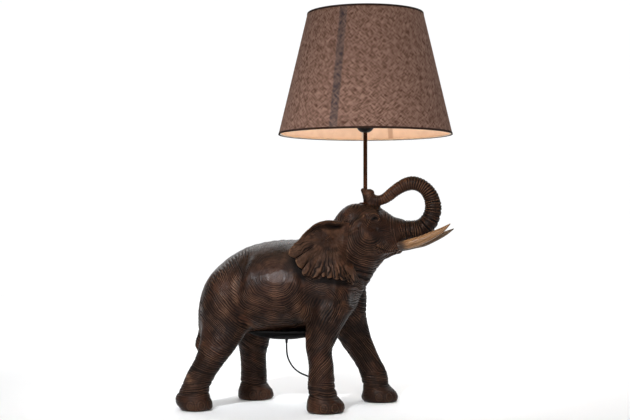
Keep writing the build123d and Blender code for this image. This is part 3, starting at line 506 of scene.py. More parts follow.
FIELDS = ("flank", "thigh", "foreleg", "ankle", "shoulder", "head", "crown", "hindleg", "back", "farleg")


def anchors():
    a = []
    def put(field, pts, side=0):
        for x, z in pts:
            a.append((x, z, FIELDS.index(field), side))
    put("flank", [(-83, 245), (-83, 205), (-60, 165), (-105, 185), (-35, 200), (-98, 265), (-45, 255), (-115, 225), (-25, 235), (-75, 150), (-40, 150), (-15, 215)])
    put("thigh", [(-190, 225), (-165, 205), (-205, 180), (-155, 170), (-178, 140), (-215, 205), (-150, 240), (-220, 150), (-140, 150), (-160, 260)])
    put("hindleg", [(-200, 100), (-180, 105), (-210, 75), (-150, 100), (-140, 80), (-130, 110)])
    put("ankle", [(-225, 42), (-225, 15), (18, 40), (18, 12), (-138, 42), (-138, 12), (102, 42), (108, 12), (-205, 40), (35, 40)])
    put("shoulder", [(20, 228), (5, 245), (38, 238), (20, 250), (-5, 232), (45, 222)])
    put("foreleg", [(15, 195), (12, 165), (12, 135), (15, 105), (15, 75), (30, 180), (0, 175)], -1)
    put("farleg", [(60, 165), (65, 135), (75, 105), (92, 75), (45, 175), (25, 185)], 1)
    put("head", [(85, 205), (80, 235), (98, 262), (75, 290), (110, 300), (60, 320), (95, 330), (130, 310), (60, 270), (88, 180), (110, 275)])
    put("crown", [(60, 360), (85, 372), (100, 378), (40, 345), (120, 365), (130, 350)])
    put("back", [(-210, 250), (-175, 285), (-135, 305), (-90, 318), (-45, 320), (0, 325), (25, 335), (-235, 215)])
    return np.array(a)


def phases(P):
    """Each field's groove coordinate in millimetres, made of the side view only."""
    x, y, z = P.T
    out = np.zeros((len(FIELDS), len(P)))
    out[0] = np.sqrt(((x + 68) / 1.08) ** 2 + (z - 254) ** 2)
    out[1] = np.sqrt((x - 20) ** 2 + ((z - 372) * 1.0) ** 2)
    out[2] = 0.80 * x - 0.60 * z + 0.0016 * (z - 120) ** 2
    out[3] = z + 0.10 * x + 2.2 * np.sin(x / 23.0)
    out[4] = np.sqrt(((x - 18) / 0.92) ** 2 + (z - 196) ** 2)
    out[5] = np.sqrt(((x - 103) / 0.92) ** 2 + ((z - 337) / 1.12) ** 2) + 0.0012 * np.maximum(245 - z, 0) ** 2
    out[6] = np.sqrt((x - 128) ** 2 + (z - 318) ** 2)
    out[7] = 0.42 * x + 0.91 * z + 0.0011 * (x + 190) ** 2
    out[8] = 0.94 * x + 0.34 * z + 0.12 * np.abs(y)
    out[9] = 0.78 * x + 0.62 * z
    return out


def furrow(phase, pitch, P, seed, sharp=0.55):
    """Carved lines: 0 on the skin, down to -1 in a furrow. Each line fades in and out along itself."""
    q = phase / pitch
    i = np.floor(q)
    f = np.abs(q - i - 0.5) * 2          # 1 at the line, 0 between
    v = f ** (1 / sharp)
    h = _hash(i, i * 0, i * 0, seed)
    fade = noise(P + h[:, None] * np.array([97.0, 53.0, 71.0]), 27, seed + 5)
    return -v * step(-0.55, 0.15, fade) * (0.72 + 0.56 * _hash(i, i * 0 + 3, i * 0, seed))


def relief(P, N):
    """Moves the figure's points along their normals, and returns what the skin's colour needs."""
    x, y, z = P.T
    near = y < 0
    side = np.clip(np.abs(N[:, 1]) * 1.4, 0, 1)
    disp = np.zeros(len(P))
    # This mask darkens the skin's colour: stain in the carved grooves, and painted shade in furrows, hollows and folds.
    stain_and_shade = np.zeros(len(P))       # how deep in a furrow, 0..1

    # parts of the figure
    ts, td, tr = trunk_param(P)
    face = (x - 123) * 0.917 + (z - 368) * 0.40 + 2.0 * noise(P, 14, 39)
    lim = 4.0 + 17.0 * step(176.0, 138.0, x)
    on_trunk = step(lim, lim - 3.5, td) * np.maximum(step(-1.5, 4.5, face), z > 376) * (x > 80)
    on_trunk = on_trunk * np.where((z > 376) & (ts < 80), 0.0, 1.0)
    leg_d = np.stack([rows_z(leg, x, y, z) for leg in LEGS])
    torso_d = rows_x(TORSO, x, y, z)
    on_leg = step(10, 3, leg_d.min(0)) * step(170, 128, z)
    belly = step(150.0, 146.5, z) * step(1.04, 1.0, np.sqrt(((x + 66) / 82) ** 2 + (y / 59) ** 2))
    seat = step(15.5, 12.5, np.sqrt((x - ROD_X) ** 2 + y * y)) * step(380, 383, z)
    free = (1 - belly) * (1 - seat)

    warp = np.stack([fbm(P, 46, 11), fbm(P, 46, 12), fbm(P, 46, 13)], 1)
    fine = np.stack([noise(P, 13, 21), noise(P, 13, 22), noise(P, 13, 23)], 1)
    Q = P + warp * 6.5 + fine * 0.9

    # broad folds and hollows, in the side view, on both sides of the figure
    def carve(pts, depth, width, lo=0.0, hi=1.0, steep=0.0, both=True, only=None):
        nonlocal disp
        d, t, sg = line_dist(Q[:, 0] * 0.5 + x * 0.5, Q[:, 2] * 0.5 + z * 0.5, pts)
        ends = step(0, 0.14, t) * step(1, 0.86, t)
        w = np.exp(-(d / width) ** 2) * ends
        lip = np.exp(-((d - width * 1.7) / (width * 0.9)) ** 2) * ends * (sg * steep > 0)
        m = side if only is None else side * only
        disp = disp + (-depth * w + abs(steep) * lip) * m
        return w * m

    high = step(140, 165, z)
    c = carve([(-118, 300), (-127, 276), (-133, 245), (-137, 206), (-128, 172), (-112, 147)], 3.6, 8, steep=1.4)
    c2 = carve([(-22, 262), (-12, 235), (-14, 205), (-8, 178), (-12, 152)], 3.6, 7.5, steep=-1.2, only=near | (x < 40))
    carve([(-204, 128), (-190, 118), (-172, 122), (-150, 138)], 1.6, 7, only=near)
    carve([(48, 268), (45, 235), (38, 195), (36, 150)], -1.9, 4.5, only=near)      # ridge down the front of the foreleg
    carve([(62, 250), (66, 215), (70, 180)], 2.0, 7)
    carve([(60, 244), (74, 236), (92, 226)], 1.8, 4)
    carve([(58, 232), (76, 222), (94, 212)], 1.6, 4)
    # cheek, jaw and mouth
    carve([(84, 352), (80, 336), (82, 312), (94, 290), (112, 279)], 2.0, 5, steep=1.0)
    mouth = carve([(112, 306), (119, 301), (127, 297), (136, 294.6), (146, 294.6), (156, 297)], 3.4, 2.3, steep=0.8)
    carve([(118, 318), (113, 308), (115, 297), (123, 290)], 1.5, 2.8, steep=0.7)
    carve([(112, 322), (106, 309), (108, 295), (118, 285)], 1.1, 2.8)
    # brow: two raised streaks, a hollow temple, and the ridge behind the eye
    carve([(62, 338), (72, 348), (84, 357), (94, 362)], -3.2, 3.2)
    carve([(64, 326), (72, 332), (84, 337)], -1.9, 3.4)
    carve([(66, 343), (76, 353), (88, 362)], 1.6, 3.0)
    carve([(100, 343), (110, 338), (118, 336)], 1.4, 4.0)
    carve([(45, 352), (56, 346), (62, 338)], 1.5, 5.0)
    # sides of the ear's root on the neck
    carve([(58, 345), (54, 315), (58, 280), (66, 255)], 1.6, 6)

    # eye: set deep between two lids, under a brow, with rings of wrinkles behind and below it
    ex, ez = 109.6, 357.0
    de = np.sqrt(((x - ex) / 1.12) ** 2 + (z - ez) ** 2)
    head_side = side * (np.abs(y) > 16)
    close = head_side * (de < 26)
    slit = (z - ez) - 0.30 * (x - ex) + 0.06 * (x - ex) ** 2
    el = np.sqrt(((x - ex) / 4.4) ** 2 + (slit / 1.9) ** 2)
    up_w = step(-5.0, 5.0, (z - ez) * 0.8 + 0.6 * (x - ex))
    disp += close * (-3.0 * np.exp(-(de / 6.2) ** 2))
    disp += close * (2.3 * np.exp(-(el / 1.15) ** 2) + 1.0 * np.exp(-((el - 2.1) / 0.42) ** 2))
    disp += close * 1.9 * up_w * np.exp(-((de - 9.0) / 2.4) ** 2)
    corner = np.exp(-(slit / 0.8) ** 2) * step(9.5, 7.0, de) * step(1.2, 1.6, el)
    disp -= close * 1.0 * corner
    eye_w = close * step(1.05, 0.8, el)
    # The eye's hollow and the corner of its slit are darkened as painted shade.
    stain_and_shade = np.maximum(stain_and_shade, close * np.maximum(corner, 0.95 * step(3.0, 2.0, el) * step(7.0, 5.4, de) * (1 - 0.75 * np.exp(-((el - 2.1) / 0.4) ** 2))))
    ring_zone = head_side * step(25, 17, de) * step(5.4, 6.8, de) * (0.65 + 0.35 * (1 - up_w)) * step(0.4, 1.0, el / 2.2)
    g = furrow(de + 1.1 * noise(P, 11, 31) - 0.8, 3.0, P, 33, 0.8)
    disp += ring_zone * 0.65 * g
    stain_and_shade = np.maximum(stain_and_shade, ring_zone * -g * 0.75)
    # wrinkles round the lip of the tusk
    dl = np.sqrt((x - 143) ** 2 + ((z - 305) * 1.1) ** 2)
    lip_zone = head_side * step(33, 25, dl) * step(12, 15, dl) * step(146, 138, x)
    g = furrow(dl + 1.3 * noise(P, 12, 35), 4.0, P, 36, 0.75)
    disp += lip_zone * 0.7 * g
    stain_and_shade = np.maximum(stain_and_shade, lip_zone * -g * 0.8)
    # temple: a small whorl
    dt = np.sqrt((x - 64) ** 2 + ((z - 365) * 1.1) ** 2)
    swirl = head_side * step(17, 9, dt)
    g = furrow(dt + 1.2 * np.arctan2(z - 365, x - 64), 3.3, P, 37, 0.7)
    disp += swirl * (0.8 * g + 0.8 * np.exp(-(dt / 8) ** 2))
    stain_and_shade = np.maximum(stain_and_shade, swirl * -g * 0.8)

    # rings round the trunk, deep near the face and on its outer side
    tq = ts + 1.1 * noise(P, 16, 41) + 0.35 * noise(P, 6, 42)
    strong = step(250, 180, ts) * step(-4, 6, ts)
    pitch = 4.7
    q = tq / pitch
    i = np.floor(q)
    f = np.abs(q - i - 0.5) * 2
    v = f ** 2.6 * (0.75 + 0.5 * _hash(i, i * 0, i * 0, 43))
    depth = 0.55 + 0.75 * strong
    disp += on_trunk * (-depth * v + 0.25 * strong)
    stain_and_shade = np.maximum(stain_and_shade, on_trunk * v * (0.55 + 0.4 * strong))
    # carved lines everywhere else
    A = anchors()
    d2 = np.full((len(FIELDS), len(P)), 1e9)
    xs, zs = Q[:, 0], Q[:, 2]
    for ax, az, fi, sd in A:
        fi = int(fi)
        d = np.sqrt((xs - ax) ** 2 + (zs - az) ** 2)
        if sd:
            d = d + np.where(np.sign(y) == sd, 0, 60)
        d2[fi] = np.minimum(d2[fi], d)
    d2[FIELDS.index("back")] += 6 - 14 * step(0.58, 0.86, N[:, 2])
    w = np.exp(-(d2 - d2.min(0)) / 4.0)
    w /= w.sum(0)
    ph = phases(Q)
    pitches = {"flank": 4.9, "thigh": 4.6, "foreleg": 4.3, "ankle": 4.7, "shoulder": 4.5, "head": 4.5, "crown": 4.3, "hindleg": 4.4, "back": 6.6, "farleg": 4.3}
    depths = {"flank": 0.40, "thigh": 0.46, "foreleg": 0.8, "ankle": 0.6, "shoulder": 0.66, "head": 0.5, "crown": 0.5, "hindleg": 0.6, "back": 0.10, "farleg": 0.75}
    calm = np.exp(-(((x - 102) / 19) ** 2 + ((z - 330) / 16) ** 2)) * (x > 60)
    calm = np.maximum(calm, np.exp(-(((x + 68) / 38) ** 2 + ((z - 254) / 30) ** 2)) * step(40, 58, np.abs(y)))
    foot_w = 0.3 + 0.7 * step(22, 33, z)
    bowl = 0.5 + 0.6 * step(262, 236, z + 0.12 * np.abs(x + 68))
    face_w = 0.15 + 0.85 * step(-6, 12, -(0.62 * (x - 100) + 0.78 * (z - 334)) + 0.25 * np.abs(x - 100))
    skin = free * (1 - on_trunk) * (1 - ring_zone) * (1 - swirl) * (1 - step(8.5, 6.5, de) * close)
    for k, name in enumerate(FIELDS):
        g = furrow(ph[k], pitches[name], P, 50 + 3 * k)
        g2 = furrow(ph[k] + 1.7, pitches[name] * 0.52, P, 51 + 3 * k, 0.8)
        amp = w[k] * skin * (1 - 0.78 * calm) * foot_w * (bowl if name == "flank" else face_w if name == "head" else 0.22 if name == "back" else 1.0)
        disp += amp * depths[name] * (g + 0.30 * g2 + 0.35)
        stain_and_shade = np.maximum(stain_and_shade, amp * -(g * 1.15 + 0.3 * g2))
    best = w.argmax(0)
    scratch = np.take_along_axis(ph, best[None, :], 0)[0]
    lined = step(0.72, 0.97, w.max(0)) * skin * (1 - 0.6 * calm) * np.where(best == FIELDS.index("back"), 0.7, 1.0) * foot_w * np.where(best == 0, bowl, np.where(best == FIELDS.index("head"), face_w, 1.0))
    # heavier folds: ankles, throat, behind the knees
    for k, name, p, dep, m in (
        (3, "ankle", 10.5, 1.5, step(34, 40, z) * step(74, 60, z)),
        (5, "head", 8.6, 1.5, step(150, 175, z) * step(292, 275, z) * step(60, 78, x)),
        (7, "hindleg", 13.0, 0.9, step(60, 75, z) * step(140, 120, z)),
    ):
        g = furrow(ph[k] + 2.0, p, P, 90 + k, 0.42)
        disp += skin * w[k] * m * dep * (g + 0.4)
        stain_and_shade = np.maximum(stain_and_shade, skin * w[k] * m * -g)
    fold = np.exp(-((z - 33 - 1.6 * np.sin(x / 9.0) + 1.5 * noise(P, 15, 95)) / 1.7) ** 2) * step(46, 40, z) * (leg_d.min(0) < 8)
    disp -= fold * 1.5
    stain_and_shade = np.maximum(stain_and_shade, fold * 0.7)
    # ladder of crescents below the spine
    d, t, sg = line_dist(x, z, [(-206, 205), (-192, 232), (-170, 262), (-145, 285), (-118, 298)])
    lad = np.exp(-(d / 7.0) ** 2) * step(0, 0.1, t) * step(1, 0.9, t) * (np.abs(y) > 25)
    q = t * 118 / 6.2 + 0.25 * d / 7.0
    v = (np.abs(q - np.floor(q) - 0.5) * 2) ** 2
    disp += lad * (0.9 - 1.5 * v) * 1.3
    stain_and_shade = np.maximum(stain_and_shade, lad * v * 0.8)
    # knuckles of the spine
    top = step(0.80, 0.97, N[:, 2]) * (z > 195) * (x < 20) * (np.abs(y) < 26)
    q = (x + 4 * noise(P, 30, 61)) / 17.0
    disp += top * (0.35 * np.cos(2 * np.pi * q) * np.exp(-(y / 12) ** 2) - 0.3)

    # a hollow under the ear's lower edge, darkened by a painted shadow
    for sgn_e in (-1, 1):
        d, t, sg = line_dist(x, z, [(-27, 284), (-22, 268), (-11, 254), (4, 250), (28, 249), (48, 246), (63, 243)])
        under_e = np.exp(-(np.maximum(d - 4.0, 0) / 10.0) ** 2) * (np.sign(y) == sgn_e) * (np.abs(y) > 30)
        disp -= under_e * 1.6
        stain_and_shade = np.maximum(stain_and_shade, under_e)
    # stains rubbed warmer and lighter
    stain_and_highlight = np.zeros(len(P))
    for pts, wd, amt in (
        ([(-142.5, 243), (-144, 226), (-141, 205)], 5.5, 0.6), ([(-165, 212), (-158, 196), (-160, 182)], 9.0, 0.35),
        ([(-231, 66), (-224, 54)], 6.5, 1.0), ([(-120, 158), (-98, 149), (-70, 146)], 5.0, 0.35), ([(-26, 200), (-20, 172), (-14, 156)], 7.0, 0.3),
        ([(66, 318), (63, 300)], 6.0, 0.3),
    ):
        d, t, sg = line_dist(Q[:, 0], Q[:, 2], pts)
        stain_and_highlight = np.maximum(stain_and_highlight, amt * np.exp(-(d / wd) ** 2) * (np.abs(y) > 20))

    # toenails
    nail = np.zeros(len(P))
    for fx, fy in FEET:
        lo = z < 34
        dx, dy = x - fx, y - fy
        r = np.sqrt(dx * dx + dy * dy)
        th = np.arctan2(dy, dx)
        for a in (-88, -52, -17, 17, 52, 88):
            aa = math.radians(a)
            da = np.abs(np.angle(np.exp(1j * (th - aa)))) * 31.0
            u, v2 = da / 6.6, (z - 11.5) / 8.6
            m = lo & (r > 16) & (r < 52) & (z > 1.6)
            e = np.sqrt(u * u + v2 * v2)
            body = m * step(1.12, 0.86, e)
            rim = m * np.exp(-((e - 1.2) / 0.16) ** 2)
            disp += body * (0.7 - 0.3 * v2 ** 2) - rim * 0.4
            nail = np.maximum(nail, body * 0.6)
            stain_and_shade = np.maximum(stain_and_shade, rim * 0.35)
            arc = np.abs(e - 0.55)
            stain_and_shade = np.maximum(stain_and_shade, body * np.exp(-(arc / 0.1) ** 2) * 0.3)
            disp -= body * np.exp(-(arc / 0.14) ** 2) * 0.35
    # general unevenness of hand carving
    disp += free * (0.55 * noise(P, 21, 71) + 0.22 * noise(P, 8, 72) + 0.10 * noise(P, 3.6, 73))
    disp *= np.where(z < 3.0, step(0.2, 3.0, z), 1.0)
    disp *= np.where((belly > 0) | (seat > 0), 1 - np.maximum(belly, seat), 1.0)
    return P + N * disp[:, None], np.clip(stain_and_shade, 0, 1), scratch, nail, eye_w, on_trunk, lined, stain_and_highlight


def figure():
    h = 1.9
    P, F = build_form(h)
    ob = new_mesh("elephant_skin", P, F, "root", ("elephant_body",))
    # one light smoothing of the sampled surface, then finer quads
    bm = bmesh.new()
    bm.from_mesh(ob.data)
    bmesh.ops.smooth_vert(bm, verts=bm.verts, factor=0.5, use_axis_x=True, use_axis_y=True, use_axis_z=True)
    bm.to_mesh(ob.data)
    bm.free()
    subdivided(ob, 1)
    me = ob.data
    P = coords(me)
    N = normals(me)
    P2, stain_and_shade, scratch, nail, eye_w, on_trunk, lined, stain_and_highlight = relief(P, N)
    P2[:, 2] = np.maximum(P2[:, 2], 0.4)
    for node_x, node_y in ((-220, -80), (26, -80), (-136, 80), (111, 80)):
        under = ((P2[:, 0] - node_x) ** 2 + (P2[:, 1] - node_y) ** 2 < 24.6 ** 2) & (P2[:, 2] < 1.52)
        P2[under, 2] = 1.52
    set_coords(me, P2)
    attribute(me, "stain_and_shade", stain_and_shade)
    attribute(me, "scratch", scratch)
    attribute(me, "nail", nail)
    attribute(me, "eyeball", eye_w)
    attribute(me, "trunk", on_trunk)
    attribute(me, "lined", lined)
    attribute(me, "stain_and_highlight", stain_and_highlight)
    return ob


# ---------------------------------------------------------------- ears
def smooth_closed(pts, n):
    """Points at even steps round a closed smooth curve through the given ones."""
    p = np.asarray(pts, float)
    k = len(p)
    out = []
    for i in range(k):
        a, b, c, d = p[(i - 1) % k], p[i], p[(i + 1) % k], p[(i + 2) % k]
        for t in np.linspace(0, 1, 24, endpoint=False):
            out.append(0.5 * (2 * b + (c - a) * t + (2 * a - 5 * b + 4 * c - d) * t * t + (3 * b - a - 3 * c + d) * t ** 3))
    out = np.array(out)
    L = np.concatenate([[0], np.cumsum(np.sqrt(((np.roll(out, -1, 0) - out) ** 2).sum(1)))])
    s = np.linspace(0, L[-1], n, endpoint=False)
    q = np.vstack([out, out[:1]])
    return np.stack([np.interp(s, L, q[:, 0]), np.interp(s, L, q[:, 1])], 1), s


def ear(name, node, sgn, skin):
    from mathutils.bvhtree import BVHTree
    nt, ns = ((520, 84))
    centre = np.array([33.0, 326.0])
    B, run = smooth_closed(EAR, nt)
    # lobes along the back and the lower edge, each between two creases
    near_v = [int(np.argmin(((B - np.array(v)) ** 2).sum(1))) for v in EAR_CREASES]
    cut = run[near_v]
    crest = np.zeros(nt)
    lean = np.zeros(nt)
    start = np.ones(nt)
    mask = np.zeros(nt)
    crease = np.zeros(nt)
    fine_crest = 0.5 * np.sin(run / 2.1) + 0.5 * np.sin(run / 1.37 + 1.0)
    for q in range(len(cut) - 1):
        a, b = cut[q], cut[q + 1]
        on = (run >= a) & (run <= b)
        t = (run[on] - a) / (b - a)
        size = min((b - a) / 13.0, 1.25)
        crest[on] = (2 * np.sqrt(np.clip(1 - (2 * t - 1) ** 2, 0, 1)) - 1) * size
        lean[on] = (0.5 - t) * size
        start[on] = EAR_STARTS[q]
        mask[on] = 1.0
        crease[on] = np.exp(-(np.minimum(run[on] - a, b - run[on]) / 1.3) ** 2)
    for _ in range(4):
        start = (np.roll(start, 2) + start + np.roll(start, -2)) / 3
        mask = (np.roll(mask, 2) + mask + np.roll(mask, -2)) / 3
    # scalloped edge
    R = np.sqrt(((B - centre) ** 2).sum(1))
    dirn = (B - centre) / R[:, None]
    R = R + mask * (1.6 * crest + 0.25 * fine_crest) - (1 - mask) * 0.9
    me = skin.data
    tree = BVHTree.FromPolygons([tuple(v) for v in coords(me)], [tuple(p.vertices) for p in me.polygons], all_triangles=False, epsilon=0.0)

    s = np.linspace(0.03, 1.0, ns + 1) ** 0.92
    S, R2 = np.meshgrid(s, R, indexing="ij")
    X = centre[0] + S * R2 * dirn[None, :, 0]
    Z = centre[1] + S * R2 * dirn[None, :, 1]
    edge = (1 - S) * R2
    # where the head and the shoulder stand under the ear
    surf = np.full(X.shape, 20.0)
    for a in range(0, X.shape[0], 2):
        for b in range(0, X.shape[1], 4):
            hit = tree.ray_cast(Vector((X[a, b], sgn * 190.0, Z[a, b])), Vector((0, -sgn, 0)))
            if hit[0] is not None:
                surf[a, b] = abs(hit[0].y)
    aa = np.arange(0, X.shape[0], 2)
    bb = np.arange(0, X.shape[1], 4)
    g = surf[np.ix_(aa, bb)]
    for _ in range(3):
        g = (g + np.roll(g, 1, 1) + np.roll(g, -1, 1)) / 3
        g[1:-1] = (g[:-2] + g[1:-1] + g[2:]) / 3
    full = np.empty(X.shape)
    tmp = np.empty((X.shape[0], len(bb)))
    for k in range(len(bb)):
        tmp[:, k] = np.interp(np.arange(X.shape[0]), aa, g[:, k])
    bx = np.append(bb, X.shape[1])
    for a in range(X.shape[0]):
        full[a] = np.interp(np.arange(X.shape[1]), bx, np.append(tmp[a], tmp[a, 0]))
    surf = full
    # the ear's own sheet: sloping out to the back, cupped, pressed out by the shoulder
    plane = 50.0 + 0.62 * (63.5 - X)
    cup = 5.0 * np.exp(-(((X - 22) / 26) ** 2 + ((Z - 318) / 26) ** 2)) - 4.5 * np.exp(-(((X - 48) / 15) ** 2 + ((Z - 312) / 22) ** 2))
    Y = plane + cup
    Y = -smin(-Y, -(surf + 5.0), 6.0)
    Y = np.minimum(Y, 113.0)
    root, rt, rs = line_dist(X.ravel(), Z.ravel(), [(71.5, 346), (69.5, 330), (68.5, 312), (67.5, 295), (69, 280)])
    root = root.reshape(X.shape)
    k = step(0.5, 15.0, root)
    Y = (surf - 3.0) * (1 - k) + Y * k
    # lobes grow towards the edge
    grow = np.clip((S - start[None, :]) / (1.02 - start[None, :]), 0, 1) ** 1.1
    amp = np.clip(k, 0, 1) * grow * mask[None, :]
    Y = Y + amp * (4.0 * crest[None, :] + 3.2 * lean[None, :] + 0.3 * fine_crest[None, :])
    # top edge rolled outwards over a deep fold, heavier towards the head
    roll_i = step(8, 26, -(B[:, 0] - 76)) * step(-26, -8, B[:, 0]) * (B[:, 1] > 318)
    roll = roll_i[None, :] * np.clip(k, 0, 1)
    heavy = step(-15, 55, X)
    Y = Y + roll * (3.6 + 3.4 * heavy) * np.exp(-((edge - 1.6 - 2.4 * heavy) / (3.0 + 1.6 * heavy)) ** 2)
    fold = roll * np.exp(-((edge - 8.0 - 5.0 * heavy) / (3.2 + 2.2 * heavy)) ** 2)
    Y = Y - fold * (3.0 + 5.0 * heavy)
    Y = np.where(roll > 0.2, np.maximum(Y, surf * 1.0 + 0.8), Y)
    # a soft rim elsewhere
    Y = Y - (1 - roll_i)[None, :] * 1.5 * np.exp(-(edge / 3.0) ** 2) * (1 - 0.6 * mask[None, :])
    Pf = np.stack([X, Y, Z], -1)
    # carved veins and mottling along the ear's normal
    dS = np.gradient(Pf, axis=0)
    dT = (np.roll(Pf, -1, 1) - np.roll(Pf, 1, 1)) / 2
    Nn = np.cross(dS, dT)
    Nn /= np.linalg.norm(Nn, axis=-1, keepdims=True) + 1e-9
    if Nn[ns // 2, :, 1].mean() < 0:
        Nn = -Nn
    flat = Pf.reshape(-1, 3)
    th = np.arctan2(Z - centre[1], X - centre[0]).ravel()
    rad = (S * R2).ravel()
    warp = fbm(flat, 22, 7)
    ph = th * 27 + 5 * warp
    vein = furrow(ph, 4.1, flat, 201, 0.6)
    vein2 = furrow(ph * 1.9 + 3 * warp, 3.6, flat, 203, 0.8)
    zone = step(12, 34, rad) * (0.35 + 0.65 * np.repeat(mask[None, :], ns + 1, 0).ravel() * np.clip((S.ravel() - 0.35) * 2.5, 0, 1))
    cell = noise(flat, 7, 205) * 0.30 + noise(flat, 3.6, 206) * 0.20 + 0.6 * noise(flat, 15, 207)
    lump = zone * (0.45 * vein + 0.25 * vein2) + cell * (1 - 0.4 * zone)
    # wrinkles that follow the rim in the upper half
    er = edge.ravel()
    rimz = step(0.2, 0.8, np.repeat(roll_i[None, :], ns + 1, 0).ravel()) * step(30, 12, er)
    vr = furrow(er + 2.0 * warp, 3.6, flat, 211, 0.7)
    lump = lump + rimz * 0.55 * vr
    # Veins, mottling and the creases between lobes are darkened: stain and painted shade.
    stain_and_shade = np.clip(zone * -(vein * 0.8 + 0.3 * vein2) + rimz * -vr * 0.6 + np.clip(-cell, 0, 1) * 0.5, 0, 1)
    stain_and_shade = np.clip(np.maximum(stain_and_shade * 1.15, (amp * crease[None, :]).ravel() * 1.0), 0, 1)
    # A painted shadow darkens the fold under the rolled top edge.
    stain_and_shade = np.maximum(stain_and_shade, (fold * (0.35 + 0.6 * heavy)).ravel())
    front = flat + Nn.reshape(-1, 3) * lump[:, None]
    thick = 2.2 + 3.2 * (1 - S) ** 0.8 + 0.5 * roll_i[None, :]
    back = flat - Nn.reshape(-1, 3) * thick.reshape(-1, 1) - Nn.reshape(-1, 3) * (0.25 * noise(flat, 9, 221))[:, None]
    n1 = (ns + 1) * nt
    mid = (front.reshape(ns + 1, nt, 3)[-1] + back.reshape(ns + 1, nt, 3)[-1]) / 2 + np.stack([dirn[:, 0], 0 * dirn[:, 0], dirn[:, 1]], 1) * 1.0
    V = np.concatenate([front, back, mid, [front.reshape(ns + 1, nt, 3)[0].mean(0)], [back.reshape(ns + 1, nt, 3)[0].mean(0)]])
    V[:, 1] *= sgn
    Q = []
    i = np.arange(nt)
    j = (i + 1) % nt
    for a in range(ns):
        Q.append(np.stack([a * nt + i, a * nt + j, (a + 1) * nt + j, (a + 1) * nt + i], 1))
        o = n1
        Q.append(np.stack([o + a * nt + i, o + (a + 1) * nt + i, o + (a + 1) * nt + j, o + a * nt + j], 1))
    last = ns * nt
    m0 = 2 * n1
    Q.append(np.stack([last + i, last + j, m0 + j, m0 + i], 1))
    Q.append(np.stack([m0 + i, m0 + j, n1 + last + j, n1 + last + i], 1))
    Q = np.concatenate(Q)
    faces = [tuple(q) for q in Q]
    cF, cB = m0 + nt, m0 + nt + 1
    faces += [(int(cF), int(b), int(a)) for a, b in zip(i, j)]
    faces += [(int(cB), int(n1 + a), int(n1 + b)) for a, b in zip(i, j)]
    ob = new_mesh(name, V, faces, "root", (node,))
    bm = bmesh.new()
    bm.from_mesh(ob.data)
    bmesh.ops.recalc_face_normals(bm, faces=bm.faces)
    bm.to_mesh(ob.data)
    bm.free()
    me = ob.data
    extra = len(V) - 2 * n1
    attribute(me, "stain_and_shade", np.concatenate([stain_and_shade, stain_and_shade * 0.5, np.full(extra, 0.1)]))
    attribute(me, "scratch", np.zeros(len(V)))
    for a in ("nail", "eyeball", "trunk", "lined"):
        attribute(me, a, np.zeros(len(V)))
    # The ear is warmer in tone, and lighter on its lobes towards the edge as a painted highlight.
    warm = np.clip(0.13 + 0.32 * grow * mask[None, :] + 0.12 * noise(flat, 16, 231).reshape(S.shape), 0, 1).ravel()
    attribute(me, "stain_and_highlight", np.concatenate([warm, warm * 0.3, np.full(extra, 0.1)]))
    return ob


# ---------------------------------------------------------------- tusks
def tusk(name, node, table):
    t = between(table, 14)
    n, m = len(t), 56
    C = t[:, :3]
    T = np.gradient(C, axis=0)
    T /= np.linalg.norm(T, axis=1, keepdims=True)
    A = np.cross(T, np.array([0, 0, 1.0]))
    A /= np.linalg.norm(A, axis=1, keepdims=True)
    Bn = np.cross(A, T)
    th = np.linspace(0, 2 * np.pi, m, endpoint=False)
    s = np.linspace(0, 1, n)
    V = []
    for i in range(n):
        r = t[i, 3]
        # a little flatter inside, with long carved facets that fade to the point
        facet = 1 + 0.022 * np.cos(5 * th + 2.0 * s[i]) + 0.03 * np.cos(2 * th + 0.6)
        rr = r * facet
        p = C[i] + np.outer(np.cos(th) * rr * 0.94, A[i]) + np.outer(np.sin(th) * rr, Bn[i])
        V.append(p)
    V = np.concatenate(V)
    ph = np.tile(th, n) * 9.0
    along = np.repeat(s * 140, m)
    q = np.stack([along, np.cos(np.tile(th, n)) * 9, np.sin(np.tile(th, n)) * 9], 1)
    grain = fbm(q, (46, 2.6, 2.6), 301) * 0.30 + noise(q, (24, 5, 5), 303) * 0.35
    N = V - np.repeat(C, m, 0)
    N /= np.linalg.norm(N, axis=1, keepdims=True) + 1e-9
    V = V + N * (grain * np.repeat(np.clip(t[:, 3] / 6, 0.1, 1), m))[:, None]
    tip = C[-1] + T[-1] * 1.0
    V = np.concatenate([V, [C[0]], [tip]])
    i = np.arange(m)
    j = (i + 1) % m
    faces = []
    for a in range(n - 1):
        faces += [tuple(map(int, f)) for f in np.stack([a * m + i, a * m + j, (a + 1) * m + j, (a + 1) * m + i], 1)]
    faces += [(int(n * m), int(b), int(a)) for a, b in zip(i, j)]
    faces += [(int(n * m + 1), int((n - 1) * m + a), int((n - 1) * m + b)) for a, b in zip(i, j)]
    ob = new_mesh(name, V, faces, "root", (node,))
    bm = bmesh.new()
    bm.from_mesh(ob.data)
    bmesh.ops.recalc_face_normals(bm, faces=bm.faces)
    bm.to_mesh(ob.data)
    bm.free()
    attribute(ob.data, "along", np.concatenate([along, [0, 140]]))
    attribute(ob.data, "around", np.concatenate([np.cos(np.tile(th, n)) * 9, [0, 0]]))
    attribute(ob.data, "across", np.concatenate([np.sin(np.tile(th, n)) * 9, [0, 0]]))
    return ob


# ---------------------------------------------------------------- shade
def shade_r(z):
    return SHADE_R_LOW + (SHADE_R_TOP - SHADE_R_LOW) * (z - SHADE_Z_LOW) / (SHADE_Z_TOP - SHADE_Z_LOW)


